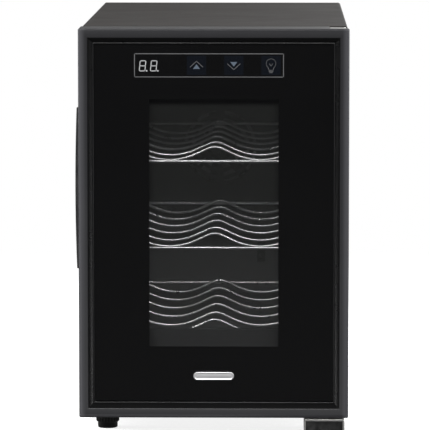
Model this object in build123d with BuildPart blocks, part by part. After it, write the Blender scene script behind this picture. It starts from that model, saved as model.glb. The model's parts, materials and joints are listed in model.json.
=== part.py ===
"""Six-bottle thermoelectric wine cooler: an insulated cabinet on feet, a right-hinged
glass door and three wire racks.

Millimetres, +Z up, front face towards -Y. The origin is on the floor, in the middle
of the door's width and of the whole depth. Every piece is a solid of its own.
"""

from build123d import *
from math import cos, radians
import os

os.makedirs("parts", exist_ok=True)

# ---------------------------------------------------------------- driving dimensions
# Overall: the door is a little wider than the cabinet, and both end at one height.
TOP_Z = 383.2
BASE_Z = 17.2
FRONT_Y = -255.5
CABINET_W = 250.0
CABINET_FRONT_Y = -210.0
CABINET_BACK_Y = 250.0
BACK_Y = 255.5
SHEET = 1.0

# Door
DOOR_W = 252.0
DOOR_BOTTOM_Z = 18.7
DOOR_BACK_Y = -214.5
DOOR_EDGE_R = 1.5
DOOR_WALL = 2.8
FACETS = ((3.5, 0.0), (8.5, 1.2), (13.2, 6.0))
GLASS_RECESS = 6.5
GLASS_T = 4.0
GLASS_INSET = 10.8
BEAD_W = 1.0
WINDOW_W = 124.0
WINDOW_H = 236.0
PANE_GAP = 12.0
PANEL_T = 2.5
GASKET_INSET = 14.0
GASKET_W = 13.0
GASKET_GAP = 0.3

# Handle: a moulded insert in the door's left side, with a bowed pull lip
HANDLE_TOP_DROP = 73.8
HANDLE_H = 150.0
HANDLE_DEPTH = 9.0
LIP_END_PROUD = 1.4
LIP_MID_PROUD = 2.8

# Hinges
HINGE_X = 115.0
HINGE_Y = -235.0
PIN_R = 2.5
BUSH_BORE_R = 2.55
BUSH_R = 4.5
BUSH_FLANGE_R = 6.5
PLATE_T = 2.5
PLATE_W = 13.0

# Cavity
CAVITY_W = 182.0
CAVITY_FLOOR_Z = 84.0
CAVITY_TOP_Z = 345.0
CAVITY_BACK_Y = 160.0
LINER_T = 2.0
LIP_TOP_Z = 97.0
FRAME_T = 3.0
LIP_T = 6.0

# Racks
RACK_BAR_Z = 254.6
RACK_PITCH = 82.4
RACK_FRONT_Y = -195.7
RACK_REAR_Y = 124.0
BAR_R = 1.6
RAIL_R = 2.0
WAVE_R = 1.4
RAIL_X = 84.0
WAVE_FIRST_Y = -189.5
WAVE_FIRST_GAP = 52.0
WAVE_GAP = 64.0
WAVE_COUNT = 6
PEAK_RISE = 13.0
VALLEY_RISE = 1.4
PEAK_BEND_R = 17.0
VALLEY_BEND_R = 60.0
WAVE_SLOPE_DEG = 25.0
LEDGE_CLEARANCE = 0.3

# Cooling unit
UNIT_Z = 240.0
BACK_PANEL_Y = 190.0
REAR_COVER_Y = 247.5
REAR_COVER_T = 1.5
BLOCK = 40.0
PELTIER_T = 3.8
COLD_SINK = 80.0
HOT_SINK = 110.0
INNER_FAN = 80.0
INNER_FAN_T = 10.0
OUTER_FAN = 92.0
OUTER_FAN_T = 25.0
SHAFT_R = 1.5
BOLT_SPAN = 54.0
BOLT_R = 1.5

# Feet
FOOT_X = 102.0
FRONT_FOOT_Y = -193.5
REAR_FOOT_Y = 225.0
STUD_R = 3.0

# ---------------------------------------------------------------- derived places
HALF_CABINET = CABINET_W / 2
HALF_DOOR = DOOR_W / 2
INNER_X = HALF_CABINET - SHEET
INNER_TOP_Z = TOP_Z - SHEET
DOOR_H = TOP_Z - DOOR_BOTTOM_Z
DOOR_MID_Z = (TOP_Z + DOOR_BOTTOM_Z) / 2
GLASS_Y = FRONT_Y + GLASS_RECESS
GLASS_BACK_Y = GLASS_Y + GLASS_T
INNER_PANE_Y = GLASS_BACK_Y + PANE_GAP
PANEL_Y = DOOR_BACK_Y - PANEL_T
CAVITY_X = CAVITY_W / 2
CAVITY_H = CAVITY_TOP_Z - CAVITY_FLOOR_Z
CAVITY_MID_Z = (CAVITY_TOP_Z + CAVITY_FLOOR_Z) / 2
LINER_FRONT_Y = CABINET_FRONT_Y + FRAME_T
RAIL_RISE = PEAK_RISE - RAIL_R - WAVE_R + 0.6
RACK_BARS_Z = {
    "rack_upper": RACK_BAR_Z,
    "rack_middle": RACK_BAR_Z - RACK_PITCH,
    "rack_lower": RACK_BAR_Z - 2 * RACK_PITCH,
}
WAVE_YS = [WAVE_FIRST_Y] + [
    WAVE_FIRST_Y + WAVE_FIRST_GAP + i * WAVE_GAP for i in range(WAVE_COUNT - 1)
]
COVER_Y = 131.0
INNER_FAN_Y = COVER_Y + 2.0
HOT_BASE_Y = CAVITY_BACK_Y + 28.0 + PELTIER_T
OUTER_FAN_Y = REAR_COVER_Y - OUTER_FAN_T
HANDLE_Z = TOP_Z - HANDLE_TOP_DROP - HANDLE_H / 2
FLANGE_W = 10.0
POCKET_Z = TOP_Z - 4.8
PLATE_TOP_Z = TOP_Z - SHEET - 0.1


def front_plane(y):
    """The plane at depth y that faces the front: its x is +X and its y is +Z."""
    return Plane.XZ.offset(-y)


def block(x0, x1, y0, y1, z0, z1, mode=Mode.ADD):
    """Adds or cuts a plain block between two corners."""
    with Locations(((x0 + x1) / 2, (y0 + y1) / 2, (z0 + z1) / 2)):
        Box(x1 - x0, y1 - y0, z1 - z0, mode=mode)


def plate(width, height, y0, y1, mid_z, mid_x=0.0, mode=Mode.ADD):
    """Adds or cuts an upright plate from depth y0 to y1."""
    block(
        mid_x - width / 2,
        mid_x + width / 2,
        y0,
        y1,
        mid_z - height / 2,
        mid_z + height / 2,
        mode,
    )


def rods(places, radius, y0, y1, mode=Mode.ADD):
    """Adds or cuts round rods along Y at the given (x, z) places."""
    with BuildSketch(front_plane(y0)) as ends:
        with Locations(*places):
            Circle(radius)
    extrude(ends.sketch, amount=-(y1 - y0), mode=mode)


def posts(places, radius, z0, z1, mode=Mode.ADD):
    """Adds or cuts upright posts at the given (x, y) places."""
    with BuildSketch(Plane.XY.offset(z0)) as ends:
        with Locations(*places):
            Circle(radius)
    extrude(ends.sketch, amount=z1 - z0, mode=mode)


def around(span, mid_x=0.0, mid_z=UNIT_Z):
    """The four corners of a square of holes about the cooling unit's axis."""
    half = span / 2
    return [(mid_x + i * half, mid_z + k * half) for i in (-1, 1) for k in (-1, 1)]


# ================================================================ cabinet shell
# Places of the screws, shared by the pieces that they pass through
REAR_SCREWS = [(x, z) for x in (-119.5, 119.5) for z in (60.0, 200.0, 345.0)]
TOP_HINGE_SCREWS = [(118.0, 352.0), (118.0, 366.0)]
BRACKET_SCREWS = [(89.5, -181.0), (116.5, -181.0), (89.5, -203.5)]
HINGE_FLANGE = (108.5, 123.5, 344.0, PLATE_TOP_Z)

# Outer wrap: one folded sheet over the top and both sides, with inward flanges at
# the front and the back.
with BuildPart() as outer_wrap:
    block(-HALF_CABINET, HALF_CABINET, CABINET_FRONT_Y, CABINET_BACK_Y, BASE_Z, TOP_Z)
    top_corners = outer_wrap.edges().filter_by(Axis.Y).group_by(Axis.Z)[-1]
    fillet(top_corners, 2.5)
    block(
        -INNER_X,
        INNER_X,
        CABINET_FRONT_Y + SHEET,
        CABINET_BACK_Y - SHEET,
        BASE_Z - 1,
        INNER_TOP_Z,
        Mode.SUBTRACT,
    )
    mouth = INNER_X + SHEET - FLANGE_W
    block(
        -mouth,
        mouth,
        CABINET_FRONT_Y - 1,
        CABINET_BACK_Y + 1,
        BASE_Z - 1,
        TOP_Z - FLANGE_W,
        Mode.SUBTRACT,
    )
    # the top hinge's flange lies flush in the front flange
    x0, x1, z0, z1 = HINGE_FLANGE
    block(x0 - 0.1, x1 + 0.1, CABINET_FRONT_Y - 1, CABINET_FRONT_Y + SHEET, z0, z1, Mode.SUBTRACT)
    rods(REAR_SCREWS, 1.6, CABINET_BACK_Y - 2, CABINET_BACK_Y + 1, Mode.SUBTRACT)
outer_wrap.part.label = "outer_wrap"
export_step(outer_wrap.part, "parts/outer_wrap.step")

# Base pan: a tray of sheet that closes the bottom, between the wrap's two sides.
with BuildPart() as base_pan:
    block(
        -INNER_X,
        INNER_X,
        CABINET_FRONT_Y + SHEET,
        CABINET_BACK_Y - SHEET,
        BASE_Z,
        BASE_Z + 12,
    )
    block(
        -INNER_X + SHEET,
        INNER_X - SHEET,
        CABINET_FRONT_Y + 2 * SHEET,
        CABINET_BACK_Y - 2 * SHEET,
        BASE_Z + SHEET,
        BASE_Z + 13,
        Mode.SUBTRACT,
    )
    posts([(-FOOT_X, FRONT_FOOT_Y), (FOOT_X, FRONT_FOOT_Y)], 5.5, BASE_Z - 1, BASE_Z + 3, Mode.SUBTRACT)
    posts(BRACKET_SCREWS, 1.75, BASE_Z - 1, BASE_Z + 3, Mode.SUBTRACT)
base_pan.part.label = "base_pan"
export_step(base_pan.part, "parts/base_pan.step")

# Back panel: closes the foam, and carries the cooling unit and the power board.
with BuildPart() as back_panel:
    plate(
        2 * INNER_X,
        INNER_TOP_Z - BASE_Z - SHEET,
        BACK_PANEL_Y,
        BACK_PANEL_Y + SHEET,
        (INNER_TOP_Z + BASE_Z + SHEET) / 2,
    )
    block(
        -INNER_X,
        INNER_X,
        BACK_PANEL_Y - 1,
        BACK_PANEL_Y + 2,
        BASE_Z,
        BASE_Z + 12,
        Mode.SUBTRACT,
    )
    plate(BLOCK + 4, BLOCK + 4, BACK_PANEL_Y - 1, BACK_PANEL_Y + 2, UNIT_Z, mode=Mode.SUBTRACT)
    rods(around(BOLT_SPAN), BOLT_R, BACK_PANEL_Y - 1, BACK_PANEL_Y + 2, Mode.SUBTRACT)
back_panel.part.label = "back_panel"
export_step(back_panel.part, "parts/back_panel.step")

# Rear cover: a flat plate with rows of vents and one round opening for the fan.
with BuildPart() as rear_cover:
    plate(
        2 * INNER_X - 4,
        INNER_TOP_Z - BASE_Z - 16,
        REAR_COVER_Y,
        REAR_COVER_Y + REAR_COVER_T,
        (INNER_TOP_Z + BASE_Z + 14) / 2,
    )
    rods([(0, UNIT_Z)], OUTER_FAN / 2 - 2, REAR_COVER_Y - 1, REAR_COVER_Y + 3, Mode.SUBTRACT)
    for mid_x, mid_z in ((-62, 330), (62, 330), (-62, 80), (62, 80)):
        with BuildSketch(front_plane(REAR_COVER_Y - 1)):
            with Locations((mid_x, mid_z)):
                with GridLocations(0, 9, 1, 6):
                    SlotOverall(70, 4)
        extrude(amount=-4, mode=Mode.SUBTRACT)
    rods(around(82.5), 2.0, REAR_COVER_Y - 1, REAR_COVER_Y + 3, Mode.SUBTRACT)
    rods(REAR_SCREWS, 1.6, REAR_COVER_Y - 1, REAR_COVER_Y + 3, Mode.SUBTRACT)
    rods([(96, 46)], 7.0, REAR_COVER_Y - 1, REAR_COVER_Y + 3, Mode.SUBTRACT)
rear_cover.part.label = "rear_cover"
export_step(rear_cover.part, "parts/rear_cover.step")

# Cord gland: a grommet through the rear cover, for a 7.2 mm supply lead.
with BuildPart() as cord_gland:
    rods([(96, 46)], 7.0, REAR_COVER_Y, REAR_COVER_Y + REAR_COVER_T)
    rods([(96, 46)], 9.5, REAR_COVER_Y + REAR_COVER_T, REAR_COVER_Y + REAR_COVER_T + 2.5)
    rods([(96, 46)], 8.5, REAR_COVER_Y - 4, REAR_COVER_Y)
    rods([(96, 46)], 3.6, REAR_COVER_Y - 5, REAR_COVER_Y + 5, Mode.SUBTRACT)
cord_gland.part.label = "cord_gland"
export_step(cord_gland.part, "parts/cord_gland.step")

# Wall spacers: two stand-offs that keep the vents clear of a wall.
SPACER_PLACES = [(-88.0, 288.0), (88.0, 288.0)]
with BuildPart() as wall_spacers:
    rods(SPACER_PLACES, 8.0, REAR_COVER_Y + REAR_COVER_T, BACK_Y)
    chamfer(wall_spacers.faces().sort_by(Axis.Y)[-2:].edges(), 1.0)
wall_spacers.part.label = "wall_spacers"
export_step(wall_spacers.part, "parts/wall_spacers.step")

# Rear cover screws: pan heads outside the wrap's rear flange.
with BuildPart() as rear_cover_screws:
    rods(REAR_SCREWS, 1.6, REAR_COVER_Y - 3, CABINET_BACK_Y)
    rods(REAR_SCREWS, 3.2, CABINET_BACK_Y, CABINET_BACK_Y + 1.8)
rear_cover_screws.part.label = "rear_cover_screws"
export_step(rear_cover_screws.part, "parts/rear_cover_screws.step")

# Mouth frame: the moulded front of the cabinet, with a raised lip under the opening.
with BuildPart() as mouth_frame:
    frame_x = HALF_CABINET - FLANGE_W - 0.2
    frame_top = TOP_Z - FLANGE_W - 0.2
    block(-frame_x, frame_x, CABINET_FRONT_Y, LINER_FRONT_Y, BASE_Z + 12.2, frame_top)
    block(
        -CAVITY_X - 6,
        CAVITY_X + 6,
        CABINET_FRONT_Y - 1,
        LINER_FRONT_Y + 1,
        LIP_TOP_Z,
        CAVITY_TOP_Z + 6,
        Mode.SUBTRACT,
    )
    # a return that covers the liner's edge, and is deeper along the lip
    block(
        -CAVITY_X - 6,
        CAVITY_X + 6,
        CABINET_FRONT_Y,
        LINER_FRONT_Y,
        LIP_TOP_Z,
        CAVITY_TOP_Z + 6,
    )
    with BuildSketch(front_plane(LINER_FRONT_Y)):
        with Locations((0, CAVITY_MID_Z)):
            RectangleRounded(CAVITY_W, CAVITY_H, 6)
        with Locations((0, (CAVITY_FLOOR_Z + LIP_TOP_Z) / 2)):
            Rectangle(CAVITY_W, LIP_TOP_Z - CAVITY_FLOOR_Z, mode=Mode.INTERSECT)
    extrude(amount=-(LIP_T - FRAME_T))
    opening = (CAVITY_TOP_Z + LIP_TOP_Z) / 2
    with BuildSketch(front_plane(CABINET_FRONT_Y - 1)):
        with Locations((0, opening)):
            RectangleRounded(CAVITY_W, CAVITY_TOP_Z - LIP_TOP_Z, 4)
    extrude(amount=-(LIP_T + 3), mode=Mode.SUBTRACT)
    x0, x1, z0, z1 = HINGE_FLANGE
    block(x0 - 0.1, x1, CABINET_FRONT_Y - 1, LINER_FRONT_Y + 1, z0 - 0.1, z1, Mode.SUBTRACT)
mouth_frame.part.label = "mouth_frame"
export_step(mouth_frame.part, "parts/mouth_frame.step")

# Inner liner: a moulded tub with three pairs of rack ledges and a front flange.
LEDGE_TOPS = [z + RAIL_RISE - RAIL_R - LEDGE_CLEARANCE for z in RACK_BARS_Z.values()]
with BuildPart() as inner_liner:
    with Locations((0, (LINER_FRONT_Y + CAVITY_BACK_Y + LINER_T) / 2, CAVITY_MID_Z)):
        Box(
            CAVITY_W + 2 * LINER_T,
            CAVITY_BACK_Y + LINER_T - LINER_FRONT_Y,
            CAVITY_H + 2 * LINER_T,
        )
    fillet(inner_liner.edges().filter_by(Axis.Y), 6 + LINER_T)
    plate(2 * 108.0, CAVITY_H + 38, LINER_FRONT_Y, LINER_FRONT_Y + LINER_T, CAVITY_MID_Z)
    with BuildSketch(front_plane(LINER_FRONT_Y - 1)):
        with Locations((0, CAVITY_MID_Z)):
            RectangleRounded(CAVITY_W, CAVITY_H, 6)
    extrude(amount=-(CAVITY_BACK_Y - LINER_FRONT_Y + 1), mode=Mode.SUBTRACT)
    for top_z in LEDGE_TOPS:
        for side in (-1, 1):
            inner, outer = sorted((side * 80.5, side * CAVITY_X))
            block(inner, outer, RACK_FRONT_Y + BAR_R + 0.6, 128, top_z - 4, top_z)
    plate(BLOCK, BLOCK, CAVITY_BACK_Y - 1, CAVITY_BACK_Y + 3, UNIT_Z, mode=Mode.SUBTRACT)
    rods(around(BOLT_SPAN), BOLT_R, CAVITY_BACK_Y - 1, CAVITY_BACK_Y + 3, Mode.SUBTRACT)
    block(-30, 30, -150, -122, CAVITY_TOP_Z - 1, CAVITY_TOP_Z + 3, Mode.SUBTRACT)
    x0, x1, z0, z1 = HINGE_FLANGE
    block(x0 - 0.2, x1, LINER_FRONT_Y - 1, LINER_FRONT_Y + 4, z0 - 0.2, z1, Mode.SUBTRACT)
inner_liner.part.label = "inner_liner"
export_step(inner_liner.part, "parts/inner_liner.step")

# Insulation foam: fills the space between the liner, the wrap and the back panel.
with BuildPart() as insulation_foam:
    block(
        -INNER_X,
        INNER_X,
        LINER_FRONT_Y + LINER_T,
        BACK_PANEL_Y,
        BASE_Z + 12,
        INNER_TOP_Z,
    )
    with BuildSketch(front_plane(LINER_FRONT_Y)):
        with Locations((0, CAVITY_MID_Z)):
            RectangleRounded(CAVITY_W + 2 * LINER_T, CAVITY_H + 2 * LINER_T, 6 + LINER_T)
    extrude(amount=-(CAVITY_BACK_Y + LINER_T - LINER_FRONT_Y), mode=Mode.SUBTRACT)
    plate(BLOCK, BLOCK, CAVITY_BACK_Y, BACK_PANEL_Y + 1, UNIT_Z, mode=Mode.SUBTRACT)
    rods(around(BOLT_SPAN), BOLT_R, CAVITY_BACK_Y, BACK_PANEL_Y + 1, Mode.SUBTRACT)
    block(-32, 32, -152, -120, CAVITY_TOP_Z, CAVITY_TOP_Z + 10, Mode.SUBTRACT)
    posts(
        [(-FOOT_X, FRONT_FOOT_Y), (FOOT_X, FRONT_FOOT_Y)],
        9.0,
        BASE_Z,
        BASE_Z + 32,
        Mode.SUBTRACT,
    )
    rods(TOP_HINGE_SCREWS, 2.4, LINER_FRONT_Y, CABINET_FRONT_Y + 16, Mode.SUBTRACT)
insulation_foam.part.label = "insulation_foam"
export_step(insulation_foam.part, "parts/insulation_foam.step")

# ================================================================ feet
# Rear feet: two plain studs under the back corners.
with BuildPart() as rear_feet:
    posts([(-FOOT_X, REAR_FOOT_Y), (FOOT_X, REAR_FOOT_Y)], 9.5, 0, BASE_Z)
    fillet(rear_feet.faces().sort_by(Axis.Z)[:2].edges(), 1.5)
rear_feet.part.label = "rear_feet"
export_step(rear_feet.part, "parts/rear_feet.step")

# Foot nuts: hexagonal inserts that take the levelling feet's studs.
with BuildPart() as foot_nuts:
    with BuildSketch(Plane.XY.offset(BASE_Z + SHEET)):
        with Locations((-FOOT_X, FRONT_FOOT_Y), (FOOT_X, FRONT_FOOT_Y)):
            RegularPolygon(7.5, 6)
    extrude(amount=7)
    posts([(-FOOT_X, FRONT_FOOT_Y), (FOOT_X, FRONT_FOOT_Y)], STUD_R + 0.05, BASE_Z, BASE_Z + 9, Mode.SUBTRACT)
foot_nuts.part.label = "foot_nuts"
export_step(foot_nuts.part, "parts/foot_nuts.step")


def levelling_foot(name, mid_x, top_z):
    """A hand-turned foot: a ribbed skirt over a round pad, on a stud."""
    pad_z = 5.5
    grip_ribs = 24
    skirt_r = 10.45
    with BuildPart() as foot:
        with BuildSketch(Plane.XY):
            with Locations((mid_x, FRONT_FOOT_Y)):
                Circle(9.4)
        extrude(amount=pad_z)
        fillet(foot.faces().sort_by(Axis.Z)[0].edges(), 1.6)
        with BuildSketch(Plane.XY.offset(pad_z)):
            with Locations((mid_x, FRONT_FOOT_Y)):
                Circle(skirt_r)
                with PolarLocations(skirt_r, grip_ribs):
                    Circle(0.6)
        extrude(amount=top_z - 0.1 - pad_z)
        posts([(mid_x, FRONT_FOOT_Y)], STUD_R, top_z - 0.1, BASE_Z + 26)
    foot.part.label = name
    export_step(foot.part, f"parts/{name}.step")


levelling_foot("foot_front_left", -FOOT_X, BASE_Z)
levelling_foot("foot_front_right", FOOT_X, BASE_Z - 1.9)

# ================================================================ racks
# One wave wire, bent in its own plane at the cabinet's middle: peaks at the centre
# and at both rails, valleys where the bottles lie.
WAVE_HALF = RAIL_X / 2
sharp = 1 / cos(radians(WAVE_SLOPE_DEG)) - 1
peak_corner = PEAK_RISE + PEAK_BEND_R * sharp
valley_corner = VALLEY_RISE - VALLEY_BEND_R * sharp
with BuildPart() as wave_wire:
    with BuildLine(Plane.XZ) as wave_line:
        FilletPolyline(
            (-RAIL_X - 1.2, PEAK_RISE),
            (-WAVE_HALF, valley_corner),
            (0, peak_corner),
            (WAVE_HALF, valley_corner),
            (RAIL_X + 1.2, PEAK_RISE),
            radius=[VALLEY_BEND_R, PEAK_BEND_R, VALLEY_BEND_R],
        )
    with BuildSketch(Plane(origin=wave_line.line @ 0, z_dir=wave_line.line % 0)):
        Circle(WAVE_R)
    sweep(path=wave_line.line)


def wire_rack(name, bar_z):
    """A rack: two side rails, a low front bar, a rear bar, and a row of wave wires."""
    bend_r = 5.0
    shoulder = 11.0
    with BuildPart() as rack:
        rail_z = bar_z + RAIL_RISE
        with BuildLine(front_plane(RACK_FRONT_Y)) as bar_line:
            FilletPolyline(
                (-RAIL_X, rail_z),
                (-RAIL_X + shoulder, bar_z),
                (RAIL_X - shoulder, bar_z),
                (RAIL_X, rail_z),
                radius=bend_r,
            )
        with BuildSketch(Plane(origin=bar_line.line @ 0, z_dir=bar_line.line % 0)):
            Circle(BAR_R)
        sweep(path=bar_line.line)
        with Locations(Location((0, RACK_REAR_Y, rail_z), (0, 90, 0))):
            Cylinder(BAR_R, 2 * RAIL_X)
        rods([(-RAIL_X, rail_z), (RAIL_X, rail_z)], RAIL_R, RACK_FRONT_Y - 2, RACK_REAR_Y + 2)
        with Locations(*[(0, y, bar_z) for y in WAVE_YS]):
            add(wave_wire.part)
    rack.part.label = name
    export_step(rack.part, f"parts/{name}.step")


for rack_name, rack_bar_z in RACK_BARS_Z.items():
    wire_rack(rack_name, rack_bar_z)

# ================================================================ cooling unit
# Duct cover: hides the cold sink and its fan; a round grille draws air in, and slots
# let it out below and above.
with BuildPart() as duct_cover:
    plate(150, 176, COVER_Y, CAVITY_BACK_Y, UNIT_Z - 2)
    fillet(duct_cover.edges().filter_by(Axis.Y), 8)
    fillet(duct_cover.faces().sort_by(Axis.Y)[0].edges(), 1.5)
    plate(146, 172, COVER_Y + 2, CAVITY_BACK_Y + 1, UNIT_Z - 2, mode=Mode.SUBTRACT)
    with BuildSketch(front_plane(COVER_Y - 1)):
        for ring_r in (12, 20, 28, 36):
            for turn in range(4):
                with BuildLine():
                    arc = CenterArc((0, UNIT_Z), ring_r, 90 * turn + 10, 70)
                SlotArc(arc.edge(), 4)
    extrude(amount=-4, mode=Mode.SUBTRACT)
    for mid_z in (168, 308):
        with BuildSketch(front_plane(COVER_Y - 1)):
            with Locations((0, mid_z)):
                with GridLocations(12, 0, 9, 1):
                    SlotOverall(20, 4, rotation=90)
        extrude(amount=-4, mode=Mode.SUBTRACT)
duct_cover.part.label = "duct_cover"
export_step(duct_cover.part, "parts/duct_cover.step")


def heat_sink(name, side, base_y, base_t, tip_y, fins, fin_t):
    """A square finned sink about the unit's axis, with upright fins."""
    with BuildPart() as sink:
        plate(side, side, min(base_y, base_y + base_t), max(base_y, base_y + base_t), UNIT_Z)
        low, high = sorted((base_y + base_t, tip_y))
        pitch = (side - fin_t) / (fins - 1)
        with Locations((0, (low + high) / 2, UNIT_Z)):
            with GridLocations(pitch, 0, fins, 1):
                Box(fin_t, high - low, side)
        y0, y1 = sorted((base_y, tip_y))
        rods(around(BOLT_SPAN), BOLT_R + 2.2, y0 - 1, y1 + 1, Mode.SUBTRACT)
        y0, y1 = sorted((base_y, base_y + base_t))
        rods(around(BOLT_SPAN), BOLT_R + 2.2, y0, y1)
        rods(around(BOLT_SPAN), BOLT_R, y0 - 1, y1 + 1, Mode.SUBTRACT)
    sink.part.label = name
    export_step(sink.part, f"parts/{name}.step")


COLD_TIP_Y = INNER_FAN_Y + INNER_FAN_T + 2.2
heat_sink("cold_sink", COLD_SINK, CAVITY_BACK_Y, -3.0, COLD_TIP_Y, 15, 1.2)
heat_sink("hot_sink", HOT_SINK, HOT_BASE_Y, 5.0, OUTER_FAN_Y, 19, 1.4)

# Cold block: carries the cold through the foam to the Peltier module.
with BuildPart() as cold_block:
    plate(BLOCK, BLOCK, CAVITY_BACK_Y, HOT_BASE_Y - PELTIER_T, UNIT_Z)
cold_block.part.label = "cold_block"
export_step(cold_block.part, "parts/cold_block.step")

# Peltier module: a thin square between the cold block and the hot sink.
with BuildPart() as peltier_module:
    plate(BLOCK, BLOCK, HOT_BASE_Y - PELTIER_T, HOT_BASE_Y, UNIT_Z)
peltier_module.part.label = "peltier_module"
export_step(peltier_module.part, "parts/peltier_module.step")

# Sink bolts: four long bolts that clamp both sinks on the block and the module.
with BuildPart() as sink_bolts:
    rods(around(BOLT_SPAN), BOLT_R, CAVITY_BACK_Y - 3, HOT_BASE_Y + 5)
    rods(around(BOLT_SPAN), 3.0, HOT_BASE_Y + 5, HOT_BASE_Y + 7.5)
    rods(around(BOLT_SPAN), 3.0, CAVITY_BACK_Y - 5.4, CAVITY_BACK_Y - 3)
sink_bolts.part.label = "sink_bolts"
export_step(sink_bolts.part, "parts/sink_bolts.step")


def axial_fan(prefix, side, depth, front_y, hole_span, blades, hub_r, strut_front):
    """An axial fan: a square frame with a bearing on four struts, and its rotor."""
    bore_r = side / 2 - 2.5
    strut_t = 2.0
    back_y = front_y + depth
    strut_y = front_y if strut_front else back_y - strut_t
    bearing_y0 = strut_y + strut_t if strut_front else strut_y - depth * 0.5
    bearing_y1 = strut_y + strut_t + depth * 0.5 if strut_front else strut_y
    with BuildPart() as fan_frame:
        plate(side, side, front_y, back_y, UNIT_Z)
        fillet(fan_frame.edges().filter_by(Axis.Y), 5)
        rods([(0, UNIT_Z)], bore_r, front_y - 1, back_y + 1, Mode.SUBTRACT)
        rods(around(hole_span), 2.0, front_y - 1, back_y + 1, Mode.SUBTRACT)
        for turn in range(4):
            with Locations(Location((0, strut_y + strut_t / 2, UNIT_Z), (0, 45 + 90 * turn, 0))):
                with Locations((bore_r / 2 + 1, 0, 0)):
                    Box(bore_r + 1, strut_t, 3.5)
        rods([(0, UNIT_Z)], hub_r - 1, strut_y, strut_y + strut_t)
        rods([(0, UNIT_Z)], SHAFT_R + 2.0, bearing_y0, bearing_y1)
        rods([(0, UNIT_Z)], SHAFT_R + 0.05, front_y - 1, back_y + 1, Mode.SUBTRACT)
    fan_frame.part.label = f"{prefix}_fan_frame"
    export_step(fan_frame.part, f"parts/{prefix}_fan_frame.step")

    gap = 1.0
    cup_t = 1.6
    hub_y0 = strut_y + strut_t + gap if strut_front else front_y + gap
    hub_y1 = back_y - gap if strut_front else strut_y - gap
    face_y0 = hub_y1 - cup_t if strut_front else hub_y0
    mid_y = (hub_y0 + hub_y1) / 2
    blade_t = 1.4
    pitch_deg = 32.0
    blade_w = (hub_y1 - hub_y0 - blade_t) / cos(radians(90 - pitch_deg))
    tip_r = bore_r - gap
    with BuildPart() as fan_rotor:
        for blade in range(blades):
            with Locations(Location((0, mid_y, UNIT_Z), (0, 360 / blades * blade, 0))):
                with Locations(Location(((hub_r + bore_r) / 2, 0, 0), (90 - pitch_deg, 0, 0))):
                    Box(bore_r - hub_r + 3, blade_w, blade_t)
        rods([(0, UNIT_Z)], tip_r, hub_y0, hub_y1, Mode.INTERSECT)
        rods([(0, UNIT_Z)], hub_r, hub_y0, hub_y1)
        cup_y0, cup_y1 = (hub_y0 - 1, face_y0) if strut_front else (face_y0 + cup_t, hub_y1 + 1)
        rods([(0, UNIT_Z)], hub_r - 1.6, cup_y0, cup_y1, Mode.SUBTRACT)
        shaft_end = strut_y + 0.5 if strut_front else strut_y + strut_t - 0.5
        shaft_y0, shaft_y1 = sorted((shaft_end, mid_y))
        far = face_y0 + cup_t / 2
        rods([(0, UNIT_Z)], SHAFT_R, min(shaft_y0, far), max(shaft_y1, far))
    fan_rotor.part.label = f"{prefix}_fan_rotor"
    export_step(fan_rotor.part, f"parts/{prefix}_fan_rotor.step")


axial_fan("inner", INNER_FAN, INNER_FAN_T, INNER_FAN_Y, 71.5, 7, 14.0, False)
axial_fan("outer", OUTER_FAN, OUTER_FAN_T, OUTER_FAN_Y, 82.5, 7, 20.0, False)

# Fan screws: four through each fan's corners.
with BuildPart() as fan_screws:
    rods(around(82.5), 2.0, OUTER_FAN_Y + 2, CABINET_BACK_Y)
    rods(around(82.5), 3.6, CABINET_BACK_Y, CABINET_BACK_Y + 2.0)
    rods(around(71.5), 1.9, INNER_FAN_Y, INNER_FAN_Y + INNER_FAN_T)
    rods(around(71.5), 3.4, INNER_FAN_Y + INNER_FAN_T, INNER_FAN_Y + INNER_FAN_T + 2)
fan_screws.part.label = "fan_screws"
export_step(fan_screws.part, "parts/fan_screws.step")

# Fan guard: concentric wire rings on four radial wires, outside the rear cover. Each
# radial wire ends in an eye, clamped under a fan screw's head.
GUARD_Y = REAR_COVER_Y + REAR_COVER_T
GUARD_RINGS = (12.0, 20.0, 28.0, 36.0, 44.0)
with BuildPart() as fan_guard:
    ring_wire = 1.0
    spoke_wire = 0.9
    for ring_r in GUARD_RINGS:
        with Locations(Location((0, GUARD_Y + 2.3, UNIT_Z), (90, 0, 0))):
            Torus(ring_r, ring_wire)
    eye_r = 82.5 / 2 * 2**0.5
    for turn in range(4):
        with Locations(Location((0, GUARD_Y + spoke_wire, UNIT_Z), (0, 45 + 90 * turn, 0))):
            with Locations((0, 0, GUARD_RINGS[0] - 0.6)):
                Cylinder(
                    spoke_wire,
                    eye_r - GUARD_RINGS[0],
                    align=(Align.CENTER, Align.CENTER, Align.MIN),
                )
    rods(around(82.5), 4.2, GUARD_Y, GUARD_Y + 1.0)
    rods(around(82.5), 2.0, GUARD_Y - 1, GUARD_Y + 3, Mode.SUBTRACT)
    rods(around(82.5), 4.3, GUARD_Y + 1.0, GUARD_Y + 4, Mode.SUBTRACT)
fan_guard.part.label = "fan_guard"
export_step(fan_guard.part, "parts/fan_guard.step")

# Power tray and power board: the supply, low in the rear compartment.
TRAY_Y = BACK_PANEL_Y + SHEET
BOARD_STUDS = [(x, z) for x in (-60, 40) for z in (52, 118)]
with BuildPart() as power_tray:
    block(-70, 50, TRAY_Y, TRAY_Y + 2, 42, 128)
    rods(BOARD_STUDS, 3.5, TRAY_Y + 2, TRAY_Y + 8)
power_tray.part.label = "power_tray"
export_step(power_tray.part, "parts/power_tray.step")

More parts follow.
